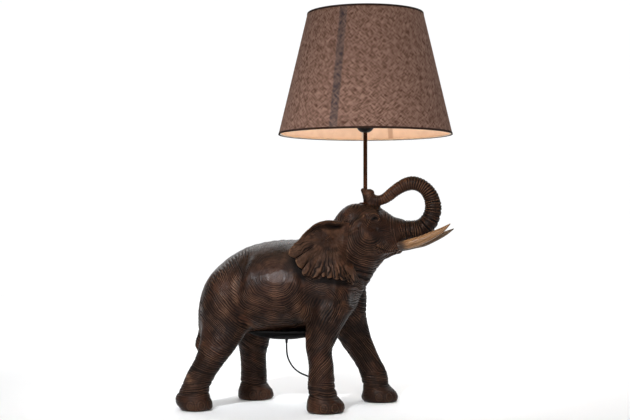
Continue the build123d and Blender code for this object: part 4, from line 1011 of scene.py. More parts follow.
def turned(name, profile, body, replaces, seg=288, wobble=None, closed=True):
    """A ring about the rod from a profile of radius and height, with a UV map in metres."""
    pr = np.asarray(profile, float)
    n = len(pr)
    th = np.linspace(0, 2 * np.pi, seg, endpoint=False)
    V = np.zeros((n, seg, 3))
    for k in range(n):
        r = np.full(seg, pr[k, 0])
        z = np.full(seg, pr[k, 1])
        if wobble is not None:
            dr, dz = wobble(th, k, pr[k])
            r, z = r + dr, z + dz
        V[k, :, 0] = ROD_X + r * np.cos(th)
        V[k, :, 1] = r * np.sin(th)
        V[k, :, 2] = z
    rows = n if closed else n - 1
    i = np.arange(seg)
    j = (i + 1) % seg
    Q = [np.stack([k * seg + i, k * seg + j, ((k + 1) % n) * seg + j, ((k + 1) % n) * seg + i], 1) for k in range(rows)]
    Q = np.concatenate(Q)
    ob = new_mesh(name, V.reshape(-1, 3), Q, body, replaces)
    me = ob.data
    uv = me.uv_layers.new(name="UVMap")
    L = np.concatenate([[0], np.cumsum(np.sqrt(((np.roll(pr, -1, 0) - pr) ** 2).sum(1)))])
    R0 = pr[:, 0].mean()
    loop_v = np.empty(len(me.loops), np.int32)
    me.loops.foreach_get("vertex_index", loop_v)
    col = loop_v % seg
    row = loop_v // seg
    ucol = col.astype(float)
    f = ucol.reshape(-1, 4)
    wrap = (f.max(1) - f.min(1)) > seg / 2
    f[wrap] = np.where(f[wrap] < seg / 2, f[wrap] + seg, f[wrap])
    rr = row.astype(float).reshape(-1, 4)
    vv = L[:-1][row].reshape(-1, 4)
    w2 = (rr.max(1) - rr.min(1)) > 1.5
    vv[w2] = np.where(vv[w2] < L[-1] / 2, vv[w2] + L[-1], vv[w2])
    data = np.stack([f.ravel() / seg * 2 * np.pi * R0 * MM, vv.ravel() * MM], 1)
    uv.data.foreach_set("uv", data.astype(np.float32).ravel())
    bm = bmesh.new()
    bm.from_mesh(me)
    bmesh.ops.recalc_face_normals(bm, faces=bm.faces)
    bm.to_mesh(me)
    bm.free()
    me.polygons.foreach_set("use_smooth", np.ones(len(me.polygons), bool))
    return ob


SEAM_NEAR = math.radians(-104.9)
SEAM_FAR = math.radians(77.2)


def around(th, at):
    return np.abs(np.angle(np.exp(1j * (th - at))))


def make_shade():
    zs = np.linspace(SHADE_Z_LOW + 0.5, SHADE_Z_TOP - 0.5, 46)
    def seam(th, k, p):
        # the fabric laps over itself along two seams
        out = np.zeros_like(th)
        if k < len(zs):
            for at in (SEAM_NEAR, SEAM_FAR):
                s = np.angle(np.exp(1j * (th - at))) * p[0]
                out += 0.34 * step(-8.4, -7.6, s) * step(8.2, 7.4, s)
            out += 0.10 * np.sin(3 * th + 0.02 * p[1]) + 0.07 * np.sin(7 * th + 1)
        return out, 0 * th
    outer = [(shade_r(z) - 0.55, z) for z in zs]
    inner = [(shade_r(z) - 1.35, z) for z in zs[::-1]]
    fab = turned("fabric", outer + inner, "shade", ("shade_fabric",), 720, seam)
    P = coords(fab.data)
    s = np.angle(np.exp(1j * (np.arctan2(P[:, 1], P[:, 0] - ROD_X) - SEAM_NEAR))) * np.hypot(P[:, 0] - ROD_X, P[:, 1])
    attribute(fab.data, "seam", step(-8.2, -6.6, s) * step(8.0, 6.4, s))
    lin_o = [(shade_r(z) - 1.5, z) for z in zs]
    lin_i = [(shade_r(z) - 2.1, z) for z in zs[::-1]]
    def lining_seam(th, k, p):
        out = np.zeros_like(th)
        if k >= len(zs):
            s = around(th, SEAM_FAR) * p[0]
            out -= 0.45 * step(4.6, 4.0, s)
        return out, 0 * th
    lin_s = turned("lining", lin_o + lin_i, "shade", ("shade_lining",), 576, lining_seam)
    P = coords(lin_s.data)
    s = around(np.arctan2(P[:, 1], P[:, 0] - ROD_X), SEAM_FAR) * np.hypot(P[:, 0] - ROD_X, P[:, 1])
    attribute(lin_s.data, "seam", step(5.2, 4.0, s))
    def tape(z0, sign):
        # folded binding tape: up the outside, round the rim and a little up the inside
        h = 4.0
        pts = []
        for t in np.linspace(1, 0.12, 6):
            z = z0 + sign * h * t
            pts.append((shade_r(z) - 0.02 - (0.42 if t == 1 else 0.04), z))
        pts += [(shade_r(z0 + sign * 0.1) - 0.25, z0 + sign * 0.05), (shade_r(z0) - 1.1, z0), (shade_r(z0) - 1.9, z0 + sign * 0.12)]
        pts += [(shade_r(z0 + sign * 0.9) - 2.25, z0 + sign * 0.9), (shade_r(z0 + sign * 2.4) - 2.3, z0 + sign * 2.4), (shade_r(z0 + sign * 2.5) - 1.95, z0 + sign * 2.5)]
        pts += [(shade_r(z0 + sign * 0.5) - 1.75, z0 + sign * 0.5), (shade_r(z0 + sign * 0.5) - 0.5, z0 + sign * 0.5), (shade_r(z0 + sign * 3.1) - 0.5, z0 + sign * 3.1)]
        return pts
    def tape_wave(th, k, p):
        return 0.03 * np.sin(53 * th + k), 0.05 * np.sin(9 * th + 0.4) + 0.04 * np.sin(23 * th)
    tb = turned("tape_low", tape(SHADE_Z_LOW, 1), "shade", ("trim_bottom",), 432, lambda th, k, p: (tape_wave(th, k, p)[0], tape_wave(th, k, p)[1] * (p[1] > SHADE_Z_LOW + 0.5)))
    tt = turned("tape_top", tape(SHADE_Z_TOP, -1), "shade", ("trim_top",), 432, lambda th, k, p: (tape_wave(th, k, p)[0], tape_wave(th, k, p)[1] * (p[1] < SHADE_Z_TOP - 0.5)))
    return fab, lin_s, tb, tt


# ---------------------------------------------------------------- cord
GLAND = (-61.6, 0.0, 119.0)
LEAD = [
    GLAND, (-61.4, 0.0, 108.0), (-61.0, 1.8, 96.8), (-58.2, 5.0, 85.8),
    (-53.0, 9.0, 75.2), (-46.4, 14.0, 66.6), (-37.8, 20.0, 59.4), (-26.8, 29.0, 53.6),
    (-17.0, 38.8, 47.8), (-12.0, 49.5, 39.4), (-11.6, 60.5, 30.0), (-14.4, 71.0, 23.2),
    (-18.4, 80.8, 19.4), (-21.2, 89.0, 18.0), (-23.2, 96.5, 16.4),
]
LIE = math.radians(8)
PLUG_FACE = (12.0, -16.0, 6.85)
COIL_C = (-10.0, 105.0)


def along_plug(p, q, z):
    return (PLUG_FACE[0] + p * math.cos(LIE) - q * math.sin(LIE), PLUG_FACE[1] + p * math.sin(LIE) + q * math.cos(LIE), z)


def coil_points():
    """Turns of the coil: five rows of three, wound from the top row's inner turn down to the floor."""
    cols = (13.8, 17.0, 20.2)
    slots = []
    for row in range(4, -1, -1):
        order = (0, 1, 2) if row % 2 == 0 else (2, 1, 0)
        for c in order:
            slots.append((cols[c], 1.6 + 3.2 * row))
    slots = slots + [slots[-1]]
    turns, n = 14.5, 12
    pts = []
    total = int(turns * n)
    for i in range(total + 1):
        tau = i / n
        k = min(int(tau), len(slots) - 2)
        f = tau - k
        t = step(0.72, 1.0, np.array(f))
        r = slots[k][0] + (slots[k + 1][0] - slots[k][0]) * t
        z = slots[k][1] + (slots[k + 1][1] - slots[k][1]) * t
        r = float(r) / 0.966
        a = LIE + math.pi - 2 * math.pi * tau
        pts.append((COIL_C[0] + r * math.cos(a), COIL_C[1] + r * math.sin(a), float(z)))
    return pts


TAIL = [(15.25, 52.0, 1.6), (13.6, 41.5, 2.0), (8.8, 31.0, 3.4), (3.4, 21.0, 5.4), (0.0, 10.5, 6.85), (0.0, 0.0, 6.85), (0.0, -12.0, 6.85)]


def make_cord():
    pts = LEAD + coil_points() + [along_plug(p, 58 + q, z) for p, q, z in TAIL]
    cu = bpy.data.curves.new("cord", "CURVE")
    cu.dimensions = "3D"
    sp = cu.splines.new("NURBS")
    sp.points.add(len(pts) - 1)
    for k, p in enumerate(pts):
        sp.points[k].co = (p[0] * MM, p[1] * MM, p[2] * MM, 1)
        sp.points[k].radius = 0.0016
    sp.order_u = 3
    sp.use_endpoint_u = True
    sp.resolution_u = 6
    cu.bevel_depth = 1.0
    cu.bevel_resolution = 5
    cu.use_fill_caps = True
    ob = bpy.data.objects.new("cord", cu)
    scene.collection.objects.link(ob)
    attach(ob, "root")
    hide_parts("cord_lead", "cord_coil", "cord_tail")
    return ob


# ---------------------------------------------------------------- materials
class Nodes:
    """A short way to write shader nodes."""

    def __init__(self, name):
        self.mat = bpy.data.materials.new(name)
        self.mat.use_nodes = True
        self.t = self.mat.node_tree
        self.t.nodes.clear()
        self.out = self.t.nodes.new("ShaderNodeOutputMaterial")
        self.b = self.t.nodes.new("ShaderNodeBsdfPrincipled")
        self.t.links.new(self.b.outputs[0], self.out.inputs[0])

    def n(self, kind, **kw):
        nd = self.t.nodes.new("ShaderNode" + kind)
        for k, v in kw.items():
            if isinstance(v, bpy.types.NodeSocket):
                self.t.links.new(v, nd.inputs[k])
            elif k in nd.inputs.keys():
                nd.inputs[k].default_value = v
            else:
                setattr(nd, k, v)
        return nd

    def put(self, **kw):
        for k, v in kw.items():
            s = self.b.inputs[k.replace("_", " ")]
            if isinstance(v, bpy.types.NodeSocket):
                self.t.links.new(v, s)
            else:
                s.default_value = v

    def attr(self, name):
        return self.n("Attribute", attribute_name=name).outputs["Fac"]

    def math(self, op, a, b=0.0, clamp=False):
        nd = self.t.nodes.new("ShaderNodeMath")
        nd.operation = op
        nd.use_clamp = clamp
        for i, v in enumerate((a, b)):
            if isinstance(v, bpy.types.NodeSocket):
                self.t.links.new(v, nd.inputs[i])
            else:
                nd.inputs[i].default_value = v
        return nd.outputs[0]

    def mix(self, f, a, b, blend="MIX"):
        nd = self.t.nodes.new("ShaderNodeMix")
        nd.data_type = "RGBA"
        nd.blend_type = blend
        for i, v in ((0, f), (6, a), (7, b)):
            if isinstance(v, bpy.types.NodeSocket):
                self.t.links.new(v, nd.inputs[i])
            elif i == 0:
                nd.inputs[i].default_value = v
            else:
                nd.inputs[i].default_value = (*v, 1.0)
        return nd.outputs[2]

    def ramp(self, f, stops):
        nd = self.t.nodes.new("ShaderNodeValToRGB")
        self.t.links.new(f, nd.inputs[0])
        cr = nd.color_ramp
        while len(cr.elements) < len(stops):
            cr.elements.new(0.5)
        for e, (p, c) in zip(cr.elements, stops):
            e.position = p
            e.color = (*c, 1) if len(c) == 3 else c
        return nd.outputs[0]

    def span(self, f, a, b, lo=0.0, hi=1.0):
        nd = self.t.nodes.new("ShaderNodeMapRange")
        nd.interpolation_type = "SMOOTHSTEP"
        self.t.links.new(f, nd.inputs[0])
        nd.inputs[1].default_value, nd.inputs[2].default_value = a, b
        nd.inputs[3].default_value, nd.inputs[4].default_value = lo, hi
        return nd.outputs[0]

    def place(self, scale=(1, 1, 1), rotation=(0, 0, 0), coord="Object"):
        c = self.t.nodes.new("ShaderNodeTexCoord")
        m = self.t.nodes.new("ShaderNodeMapping")
        self.t.links.new(c.outputs[coord], m.inputs[0])
        m.inputs["Scale"].default_value = scale
        m.inputs["Rotation"].default_value = rotation
        return m.outputs[0]

    def noise(self, scale, detail=3.0, rough=0.5, at=None, distort=0.0):
        nd = self.t.nodes.new("ShaderNodeTexNoise")
        self.t.links.new(at if at is not None else self.place(), nd.inputs["Vector"])
        nd.inputs["Scale"].default_value = scale
        nd.inputs["Detail"].default_value = detail
        nd.inputs["Roughness"].default_value = rough
        nd.inputs["Distortion"].default_value = distort
        return nd.outputs["Fac"]

    def bump(self, height, strength, dist, normal=None):
        nd = self.t.nodes.new("ShaderNodeBump")
        self.t.links.new(height, nd.inputs["Height"])
        nd.inputs["Strength"].default_value = strength
        nd.inputs["Distance"].default_value = dist
        if normal is not None:
            self.t.links.new(normal, nd.inputs["Normal"])
        return nd.outputs[0]


def lin(r, g, b):
    """Linear colour from a 0..255 sRGB one."""
    return tuple((c / 255 / 12.92) if c <= 10 else (((c / 255) + 0.055) / 1.055) ** 2.4 for c in (r, g, b))


def resin_skin():
    """Cast resin stained dark brown and rubbed back over the high places, with painted shade in its furrows and on
    surfaces that face up, and painted highlights on the ridges of its fine lines.
    """
    m = Nodes("carved_resin")
    stain_and_shade, nail, eye, trunk = m.attr("stain_and_shade"), m.attr("nail"), m.attr("eyeball"), m.attr("trunk")
    g = m.n("NewGeometry")
    point = m.span(g.outputs["Pointiness"], 0.47, 0.55)
    edge = m.span(g.outputs["Pointiness"], 0.505, 0.56)
    broad = m.noise(9.0, 3, 0.55)
    mid = m.noise(34.0, 4, 0.6)
    fine = m.noise(210.0, 3, 0.6)
    scr = m.attr("scratch")
    # fine carved lines along the groove fields
    lined, stain_and_highlight = m.attr("lined"), m.attr("stain_and_highlight")
    wob = m.math("MULTIPLY", m.math("SUBTRACT", m.noise(120.0, 2, 0.5), 0.5), 3.4)
    w1 = m.math("SINE", m.math("ADD", m.math("MULTIPLY", scr, 2.05), wob))
    w2 = m.math("SINE", m.math("ADD", m.math("MULTIPLY", scr, 4.4), m.math("MULTIPLY", wob, 1.6)))
    patch = m.math("MULTIPLY", m.span(m.noise(45.0, 2, 0.5), 0.36, 0.58, 0.25, 1.0), lined)
    lines = m.math("MULTIPLY", m.math("ADD", w1, m.math("MULTIPLY", w2, 0.4)), patch)
    dark = lin(9, 5, 4)
    base = m.mix(m.span(broad, 0.38, 0.64), lin(33, 21, 16), lin(64, 41, 30))
    base = m.mix(m.span(mid, 0.48, 0.72, 0, 0.7), base, lin(92, 63, 46))
    base = m.mix(m.span(m.noise(52.0, 3, 0.6), 0.5, 0.68, 0, 0.6), base, lin(24, 15, 12))
    rub = m.math("MULTIPLY", edge, m.span(m.noise(22.0, 2, 0.5), 0.3, 0.7, 0.35, 1.0))
    base = m.mix(m.math("MULTIPLY", rub, 0.8), base, lin(128, 92, 66))
    # warm and reddish stains
    base = m.mix(m.span(m.noise(15.0, 3, 0.6), 0.58, 0.74, 0, 0.45), base, lin(98, 58, 38))
    # This mask gives rubbed stains on the body and a painted highlight on the ear's lobes.
    base = m.mix(m.math("MULTIPLY", stain_and_highlight, m.span(m.noise(70.0, 3, 0.6), 0.25, 0.6, 0.35, 1.0)), base, lin(124, 91, 70))
    # Painted shade: surfaces that face up are darkened.
    up = m.n("SeparateXYZ", Vector=g.outputs["Normal"]).outputs["Z"]
    base = m.mix(m.span(up, 0.35, 0.85, 0, 0.7), base, lin(30, 23, 15))
    # Painted shade and stain: the furrow mask and concave places are darkened.
    g1 = m.math("MAXIMUM", m.math("MULTIPLY", stain_and_shade, 1.3, True), m.span(g.outputs["Pointiness"], 0.50, 0.455))
    base = m.mix(m.math("MULTIPLY", g1, 0.97, True), base, dark)
    # The fine lines are darkened in the groove as stain and painted shade, and lightened on the ridge as a painted
    # highlight.
    base = m.mix(m.span(lines, 0.2, -1.1, 0, 0.84), base, dark)
    base = m.mix(m.span(lines, 0.5, 1.3, 0, 0.42), base, lin(122, 88, 67))
    base = m.mix(m.math("MULTIPLY", nail, m.span(point, 0.2, 0.8, 0.05, 0.2)), base, lin(104, 78, 60))
    # darker towards the bottom of the figure
    z = m.n("SeparateXYZ", Vector=g.outputs["Position"]).outputs["Z"]
    base = m.mix(m.span(z, 0.16, 0.02, 0.0, 0.25), base, lin(34, 22, 16))
    base = m.mix(m.math("MULTIPLY", eye, 1.0), base, lin(8, 5, 4))
    rough = m.math("ADD", m.math("ADD", m.span(fine, 0.3, 0.7, 0.21, 0.32), m.span(mid, 0.35, 0.7, 0.0, 0.08)), m.math("MULTIPLY", g1, 0.4))
    rough = m.math("SUBTRACT", rough, m.math("MULTIPLY", eye, 0.45), True)
    m.put(Base_Color=base, Roughness=rough)
    m.b.inputs["Specular IOR Level"].default_value = 0.085
    h = m.math("ADD", m.math("MULTIPLY", lines, m.math("SUBTRACT", 0.8, m.math("MULTIPLY", trunk, 0.4))), m.math("MULTIPLY", m.noise(420.0, 2, 0.5), 0.9))
    nb = m.bump(h, 0.55, 0.00035)
    nb = m.bump(m.noise(90.0, 3, 0.55), 0.35, 0.0009, nb)
    m.put(Normal=nb)
    return m.mat


def tusk_mat(name, painted_shade):
    m = Nodes(name)
    along, ca, cc = m.attr("along"), m.attr("around"), m.attr("across")
    v = m.n("CombineXYZ", X=m.math("MULTIPLY", along, 0.022), Y=m.math("MULTIPLY", ca, 0.42), Z=m.math("MULTIPLY", cc, 0.42)).outputs[0]
    grain = m.noise(1.0, 4, 0.6, v, 0.6)
    v2 = m.n("CombineXYZ", X=m.math("MULTIPLY", along, 0.05), Y=m.math("MULTIPLY", ca, 1.3), Z=m.math("MULTIPLY", cc, 1.3)).outputs[0]
    hair = m.noise(1.0, 3, 0.65, v2, 0.4)
    col = m.mix(m.span(grain, 0.32, 0.66), lin(98, 68, 42), lin(156, 117, 79))
    col = m.mix(m.span(hair, 0.55, 0.74, 0, 0.75), col, lin(70, 46, 28))
    col = m.mix(m.span(hair, 0.44, 0.30, 0, 0.45), col, lin(164, 122, 84))
    col = m.mix(m.span(m.noise(30, 3, 0.6), 0.55, 0.75, 0, 0.5), col, lin(80, 50, 32))
    # darker where it leaves the lip
    col = m.mix(m.span(along, 57.0, 40.0, 0, 0.88), col, lin(36, 30, 30))
    col = m.mix(m.span(along, 128.0, 139.0, 0, 0.4), col, lin(86, 58, 40))
    # Painted shade: a darker copy of the tusk's colour, used for the far tusk.
    col = m.mix(painted_shade, col, lin(52, 38, 22))
    m.put(Base_Color=col, Roughness=m.span(hair, 0.3, 0.7, 0.40, 0.30))
    m.b.inputs["Specular IOR Level"].default_value = 0.28
    m.put(Normal=m.bump(hair, 0.5, 0.0005))
    return m.mat


def linen():
    """Slubby linen over a card lining: threads both ways, a few thick ones, and soft streaks."""
    m = Nodes("shade_linen")
    uv = m.place(coord="UV")
    s = m.n("SeparateXYZ", Vector=uv)
    u, v = s.outputs["X"], s.outputs["Y"]
    # wobble of the threads
    wu = m.math("MULTIPLY", m.math("SUBTRACT", m.noise(60, 2, 0.5, uv), 0.5), 0.0016)
    wv = m.math("MULTIPLY", m.math("SUBTRACT", m.noise(55, 2, 0.5, m.place((1, 1.3, 1), (0, 0, 0.6), "UV")), 0.5), 0.0016)
    tw = 2 * math.pi / 0.00105
    a = m.math("ADD", m.math("ADD", u, wu), v)
    b = m.math("SUBTRACT", u, m.math("ADD", v, wv))
    weave = m.math("ADD", m.math("MULTIPLY", m.math("SINE", m.math("MULTIPLY", a, tw * 0.71)), 0.5), m.math("MULTIPLY", m.math("SINE", m.math("MULTIPLY", b, tw * 0.71)), 0.5))
    # slubs, long along the threads, which run aslant on the shade
    def slub(sa, sb, off):
        at = m.n("CombineXYZ", X=m.math("MULTIPLY", a, sa), Y=m.math("MULTIPLY", b, sb), Z=off).outputs[0]
        return m.math("SUBTRACT", m.noise(1.0, 1.2, 0.55, at), 0.5)
    light = m.math("ADD", m.math("MULTIPLY", slub(54.0, 490.0, 0.0), 1.5), m.math("MULTIPLY", slub(470.0, 50.0, 5.0), 1.45))
    light = m.math("ADD", light, m.math("MULTIPLY", slub(420.0, 420.0, 9.0), 0.2))
    col = m.mix(m.span(light, -0.36, 0.36), lin(78, 54, 44), lin(154, 122, 107))
    col = m.mix(m.span(weave, -0.6, 0.8, 0.30, 0.0), col, lin(60, 40, 33))
    # Painted shade: the outer seam's double layer is darker, standing in for less lamp light coming through it.
    seam = m.attr("seam")
    col = m.mix(m.math("MULTIPLY", seam, m.span(light, -0.3, 0.3, 0.95, 0.4)), col, lin(58, 54, 56))
    m.put(Base_Color=col, Roughness=0.88)
    m.b.inputs["Specular IOR Level"].default_value = 0.06
    h = m.math("ADD", m.math("MULTIPLY", weave, 0.5), m.math("MULTIPLY", light, 1.6))
    m.put(Normal=m.bump(h, 0.5, 0.0004))
    # a little of the lamp's light comes through the cloth
    col2 = m.mix(m.span(light, -0.3, 0.3), lin(120, 70, 48), lin(150, 96, 70))
    m.put(Emission_Color=col2)
    m.b.inputs["Emission Strength"].default_value = 0.03
    return m.mat


def lining_mat():
    m = Nodes("shade_lining")
    n = m.noise(70.0, 3, 0.5)
    col = m.mix(m.span(n, 0.35, 0.65), lin(236, 214, 196), lin(243, 222, 204))
    # Painted shade along the lining's seam.
    col = m.mix(m.math("MULTIPLY", m.attr("seam"), 0.6), col, lin(176, 140, 116))
    m.put(Base_Color=col, Roughness=0.62)
    m.put(Normal=m.bump(m.noise(900.0, 2, 0.5), 0.25, 0.0002))
    return m.mat


def trim_mat():
    m = Nodes("trim_tape")
    at = m.place((1, 1, 1), coord="UV")
    s = m.n("SeparateXYZ", Vector=at)
    tw = 2 * math.pi / 0.0007
    rib = m.math("SINE", m.math("MULTIPLY", m.math("ADD", s.outputs["X"], m.math("MULTIPLY", s.outputs["Y"], 0.7)), tw))
    n = m.noise(160, 3, 0.6, at)
    col = m.mix(m.span(n, 0.35, 0.65), lin(44, 31, 26), lin(58, 42, 35))
    col = m.mix(m.span(rib, -0.3, 0.9, 0.35, 0.0), col, lin(24, 16, 13))
    m.put(Base_Color=col, Roughness=0.8)
    m.b.inputs["Specular IOR Level"].default_value = 0.08
    m.put(Normal=m.bump(rib, 0.5, 0.0003))
    return m.mat


def bronze_paint():
    m = Nodes("bronze_paint")
    n1 = m.noise(55, 4, 0.6)
    n2 = m.noise(260, 3, 0.6)
    g = m.n("NewGeometry")
    worn = m.span(g.outputs["Pointiness"], 0.51, 0.58)
    col = m.mix(m.span(n1, 0.35, 0.65), lin(28, 11, 4), lin(46, 21, 9))
    col = m.mix(m.math("MULTIPLY", worn, 0.2), col, lin(84, 52, 28))
    m.put(Base_Color=col, Roughness=m.span(n2, 0.3, 0.7, 0.34, 0.5))
    m.b.inputs["Metallic"].default_value = 0.08
    m.b.inputs["Specular IOR Level"].default_value = 0.05
    m.put(Normal=m.bump(n2, 0.2, 0.0002))
    return m.mat


def plain(name, a, b, scale=60, rough=(0.35, 0.5), metal=0.0, bump=0.2, bump_scale=400, dist=0.0002, **extra):
    """A material whose colour, gloss and surface vary a little, as moulded or rolled stock does."""
    m = Nodes(name)
    n1 = m.noise(scale, 4, 0.6)
    n2 = m.noise(bump_scale, 3, 0.6)
    g = m.n("NewGeometry")
    worn = m.span(g.outputs["Pointiness"], 0.52, 0.60, 0, 0.35)
    col = m.mix(m.span(n1, 0.35, 0.65), a, b)
    col = m.mix(worn, col, tuple(min(1.0, c * 1.6 + 0.02) for c in b))
    m.put(Base_Color=col, Roughness=m.span(n2, 0.3, 0.7, *rough))
    m.b.inputs["Metallic"].default_value = metal
    for k, v in extra.items():
        m.b.inputs[k.replace("_", " ")].default_value = v
    m.put(Normal=m.bump(n2, bump, dist))
    return m.mat


def felt():
    m = Nodes("felt")
    n = m.noise(500, 4, 0.7)
    col = m.mix(m.span(n, 0.3, 0.7), lin(28, 26, 25), lin(52, 48, 46))
    m.put(Base_Color=col, Roughness=0.95)
    m.b.inputs["Sheen Weight"].default_value = 0.3
    m.put(Normal=m.bump(n, 0.7, 0.0006))
    return m.mat


def bulb_mat():
    m = Nodes("opal_glass")
    n = m.noise(40, 2, 0.5)
    col = m.mix(m.span(n, 0.3, 0.7), (0.95, 0.80, 0.58), (1.0, 0.86, 0.66))
    m.put(Base_Color=col, Roughness=0.25)
    m.put(Emission_Color=m.mix(m.span(n, 0.3, 0.7), (1.0, 0.76, 0.48), (1.0, 0.80, 0.54)))
    m.b.inputs["Emission Strength"].default_value = BULB_GLOW
    return m.mat


BULB_GLOW = 5.0


def give(node, mat):
    ob = NODES[node] if isinstance(node, str) else node
    ob.data.materials.clear()
    ob.data.materials.append(mat)


# ---------------------------------------------------------------- making
cord = make_cord()
skin = figure()
ear_n = ear("ear_near", "ear_right", -1, skin)
ear_f = ear("ear_far", "ear_left", 1, skin)
tusk_n = tusk("tusk_near", "tusk_right", TUSK_NEAR)
tusk_f = tusk("tusk_far", "tusk_left", TUSK_FAR)
fabric, lining, tape_low, tape_top = make_shade()

resin = resin_skin()
for ob in (skin, ear_n, ear_f):
    give(ob, resin)
ivory = tusk_mat("tusk_resin", 0.0)
give(tusk_n, ivory)
# The far tusk gets a darker, painted-shade copy of the near tusk's material.
give(tusk_f, tusk_mat("tusk_resin_painted_shade", 0.72))
give(fabric, linen())
give(lining, lining_mat())
tape_m = trim_mat()
give(tape_low, tape_m)
give(tape_top, tape_m)
black_pvc = plain("cord_sheath", lin(8, 8, 8), lin(14, 13, 13), 120, (0.36, 0.5), bump=0.15, Specular_IOR_Level=0.06)
cord.data.materials.append(black_pvc)
bronze = bronze_paint()
black_plastic = plain("black_plastic", lin(9, 8, 8), lin(15, 14, 14), 80, (0.42, 0.58), Specular_IOR_Level=0.14)
grey_plastic = plain("clamp_plastic", lin(120, 116, 108), lin(150, 146, 138), 80, (0.4, 0.55))
steel = plain("screw_steel", lin(150, 150, 148), lin(184, 184, 180), 120, (0.24, 0.4), 1.0, 0.15)
zinc = plain("zinc_steel", lin(158, 154, 140), lin(186, 182, 170), 120, (0.26, 0.42), 1.0, 0.15)
brass = plain("brass", lin(186, 142, 70), lin(214, 172, 98), 90, (0.2, 0.34), 1.0, 0.1)
nickel = plain("nickel_brass", lin(176, 172, 158), lin(204, 200, 188), 90, (0.16, 0.3), 1.0, 0.1)
ceramic = plain("ceramic", lin(216, 212, 200), lin(236, 232, 222), 60, (0.2, 0.32), bump=0.1)
white_wire = plain("white_wire", lin(206, 186, 162), lin(222, 200, 176), 70, (0.3, 0.42), bump=0.15)
black_glass = plain("bulb_black_glass", lin(12, 12, 14), lin(20, 20, 22), 60, (0.12, 0.2), bump=0.05)
tie_m = plain("tie", lin(14, 14, 14), lin(26, 25, 25), 120, (0.45, 0.6), Specular_IOR_Level=0.2)
pan_paint = plain("pan_paint", lin(2, 2, 2), lin(5, 5, 5), 80, (0.5, 0.65), Specular_IOR_Level=0.02)
black_screw = plain("black_screw", lin(14, 13, 13), lin(24, 23, 22), 120, (0.35, 0.5), bump=0.15, Specular_IOR_Level=0.2)
opal = bulb_mat()
felt_m = felt()
BY_SLOT = {
    "pan_paint": pan_paint, "black_screw": black_screw, "black_plastic": black_plastic, "clamp_plastic": grey_plastic, "screw_steel": steel, "felt": felt_m,
    "bronze_paint": bronze, "zinc_steel": zinc, "ceramic": ceramic, "brass": brass, "nickel_brass": nickel,
    "white_wire": white_wire, "opal_glass": opal, "bulb_black_glass": black_glass, "cord_sheath": black_pvc,
    "tie": tie_m, "resin": resin, "tusk_resin": ivory,
}
GONE = {"elephant_body", "ear_right", "ear_left", "tusk_right", "tusk_left", "shade_fabric", "shade_lining", "trim_bottom", "trim_top", "cord_lead", "cord_coil", "cord_tail"}
SLOTS = {
    "belly_cover": "pan_paint", "cover_screws": "black_screw", "cord_gland": "black_plastic", "cord_clamp": "clamp_plastic",
    "clamp_screws": "screw_steel", "foot_pads": "felt", "rod": "bronze_paint", "rod_flange": "bronze_paint", "rod_washer": "zinc_steel",
    "rod_nut": "zinc_steel", "holder_cap": "black_plastic", "holder_skirt": "black_plastic", "holder_core": "ceramic",
    "terminal_screws": "brass", "holder_shell": "brass", "holder_contact": "brass", "switch_spindle": "brass", "switch_knob": "black_plastic",
    "shade_ring_lower": "bronze_paint", "shade_ring_nut": "black_plastic", "shade_top_wire": "white_wire", "shade_low_wire": "white_wire",
    "shade_spider": "white_wire", "bulb_glass": "opal_glass", "bulb_cap": "nickel_brass", "bulb_insulator": "bulb_black_glass",
    "bulb_contact": "brass", "inner_lead": "cord_sheath", "coil_tie": "tie", "plug_body": "black_plastic", "plug_pins": "nickel_brass",
    "plug_relief": "black_plastic",
}
for node, ob in NODES.items():
    if node not in GONE:
        give(node, BY_SLOT[SLOTS[node]])


# ---------------------------------------------------------------- light and floor
def area(name, where, at, size, power, colour=(1, 1, 1), spread=180.0):
    li = bpy.data.lights.new(name, "AREA")
    li.shape = "RECTANGLE"
    li.size, li.size_y = size
    li.energy = power
    li.color = colour
    li.spread = math.radians(spread)
    ob = bpy.data.objects.new(name, li)
    scene.collection.objects.link(ob)
    ob.location = where
    d = Vector(at) - Vector(where)
    ob.rotation_mode = "QUATERNION"
    ob.rotation_quaternion = d.to_track_quat("-Z", "Y")
    return ob


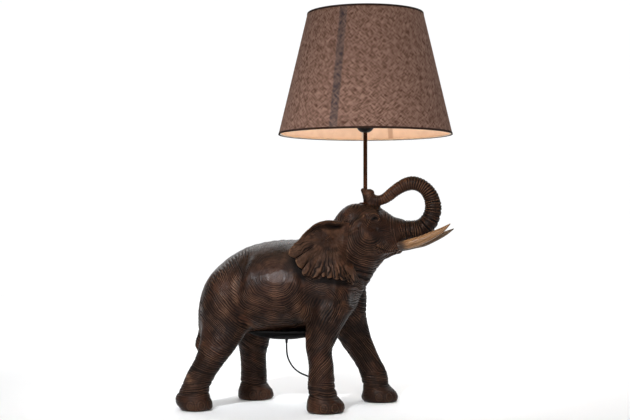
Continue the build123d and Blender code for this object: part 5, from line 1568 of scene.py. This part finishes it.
area("top", (0.1, -0.6, 2.4), (0, 0, 0), (1.2, 1.2), 10, (1.0, 0.99, 0.97))
area("key", (-0.45, -1.95, 1.42), (-0.12, 0, 0.18), (0.16, 0.16), 1.35, (0.93, 0.96, 1.0), 29)
area("front", (0.45, -2.7, 1.2), (0.05, 0, 0.4), (0.8, 0.8), 30, (1.0, 0.96, 0.92))
area("fill", (1.75, -1.35, 0.7), (0.05, 0, 0.25), (0.07, 0.5), 3.0, (0.70, 0.84, 1.0))
area("rim_left", (-1.7, 0.4, 0.8), (-0.1, 0, 0.2), (0.2, 0.9), 0.8, (0.88, 0.94, 1.0))
area("over_floor", (-0.2, 2.8, 2.3), (-0.2, 2.8, 0), (5.8, 3.8), 185, (0.98, 0.99, 1.0))

lamp_light = bpy.data.lights.new("lamp_light", "POINT")
lamp_light.energy = 0.58
lamp_light.color = (1.0, 0.73, 0.48)
lamp_light.shadow_soft_size = 0.03
lamp_ob = bpy.data.objects.new("lamp_light", lamp_light)
scene.collection.objects.link(lamp_ob)
lamp_ob.location = (ROD_X * MM, 0, 0.665)

# a white wall behind, and a dimmer room elsewhere
world = bpy.data.worlds.new("studio")
scene.world = world
world.use_nodes = True
wt = world.node_tree
bg = wt.nodes["Background"]
wc = wt.nodes.new("ShaderNodeTexCoord")
wx = wt.nodes.new("ShaderNodeVectorMath")
wx.operation = "DOT_PRODUCT"
wx.inputs[1].default_value = (-0.1392, 0.9903, 0.0)
wt.links.new(wc.outputs["Generated"], wx.inputs[0])
wr = wt.nodes.new("ShaderNodeMapRange")
wr.interpolation_type = "SMOOTHSTEP"
wt.links.new(wx.outputs["Value"], wr.inputs[0])
wr.inputs[1].default_value, wr.inputs[2].default_value = 0.915, 0.951
wr.inputs[3].default_value, wr.inputs[4].default_value = 0.11, 1.02
bg.inputs[0].default_value = (0.99, 0.995, 1.0, 1)
wt.links.new(wr.outputs[0], bg.inputs[1])
scene.view_settings.view_transform = "Standard"

me = bpy.data.meshes.new("floor")
me.from_pydata([(-6, -6, 0), (6, -6, 0), (6, 3.3, 0), (-6, 3.3, 0)], [], [(0, 1, 2, 3)])
floor = bpy.data.objects.new("floor", me)
scene.collection.objects.link(floor)
fm = Nodes("floor")
fn = fm.noise(3, 3, 0.5)
fm.put(Base_Color=fm.mix(fm.span(fn, 0.3, 0.7), (0.94, 0.94, 0.94), (0.95, 0.95, 0.95)), Roughness=0.9)
floor.data.materials.append(fm.mat)

bpy.context.view_layer.update()
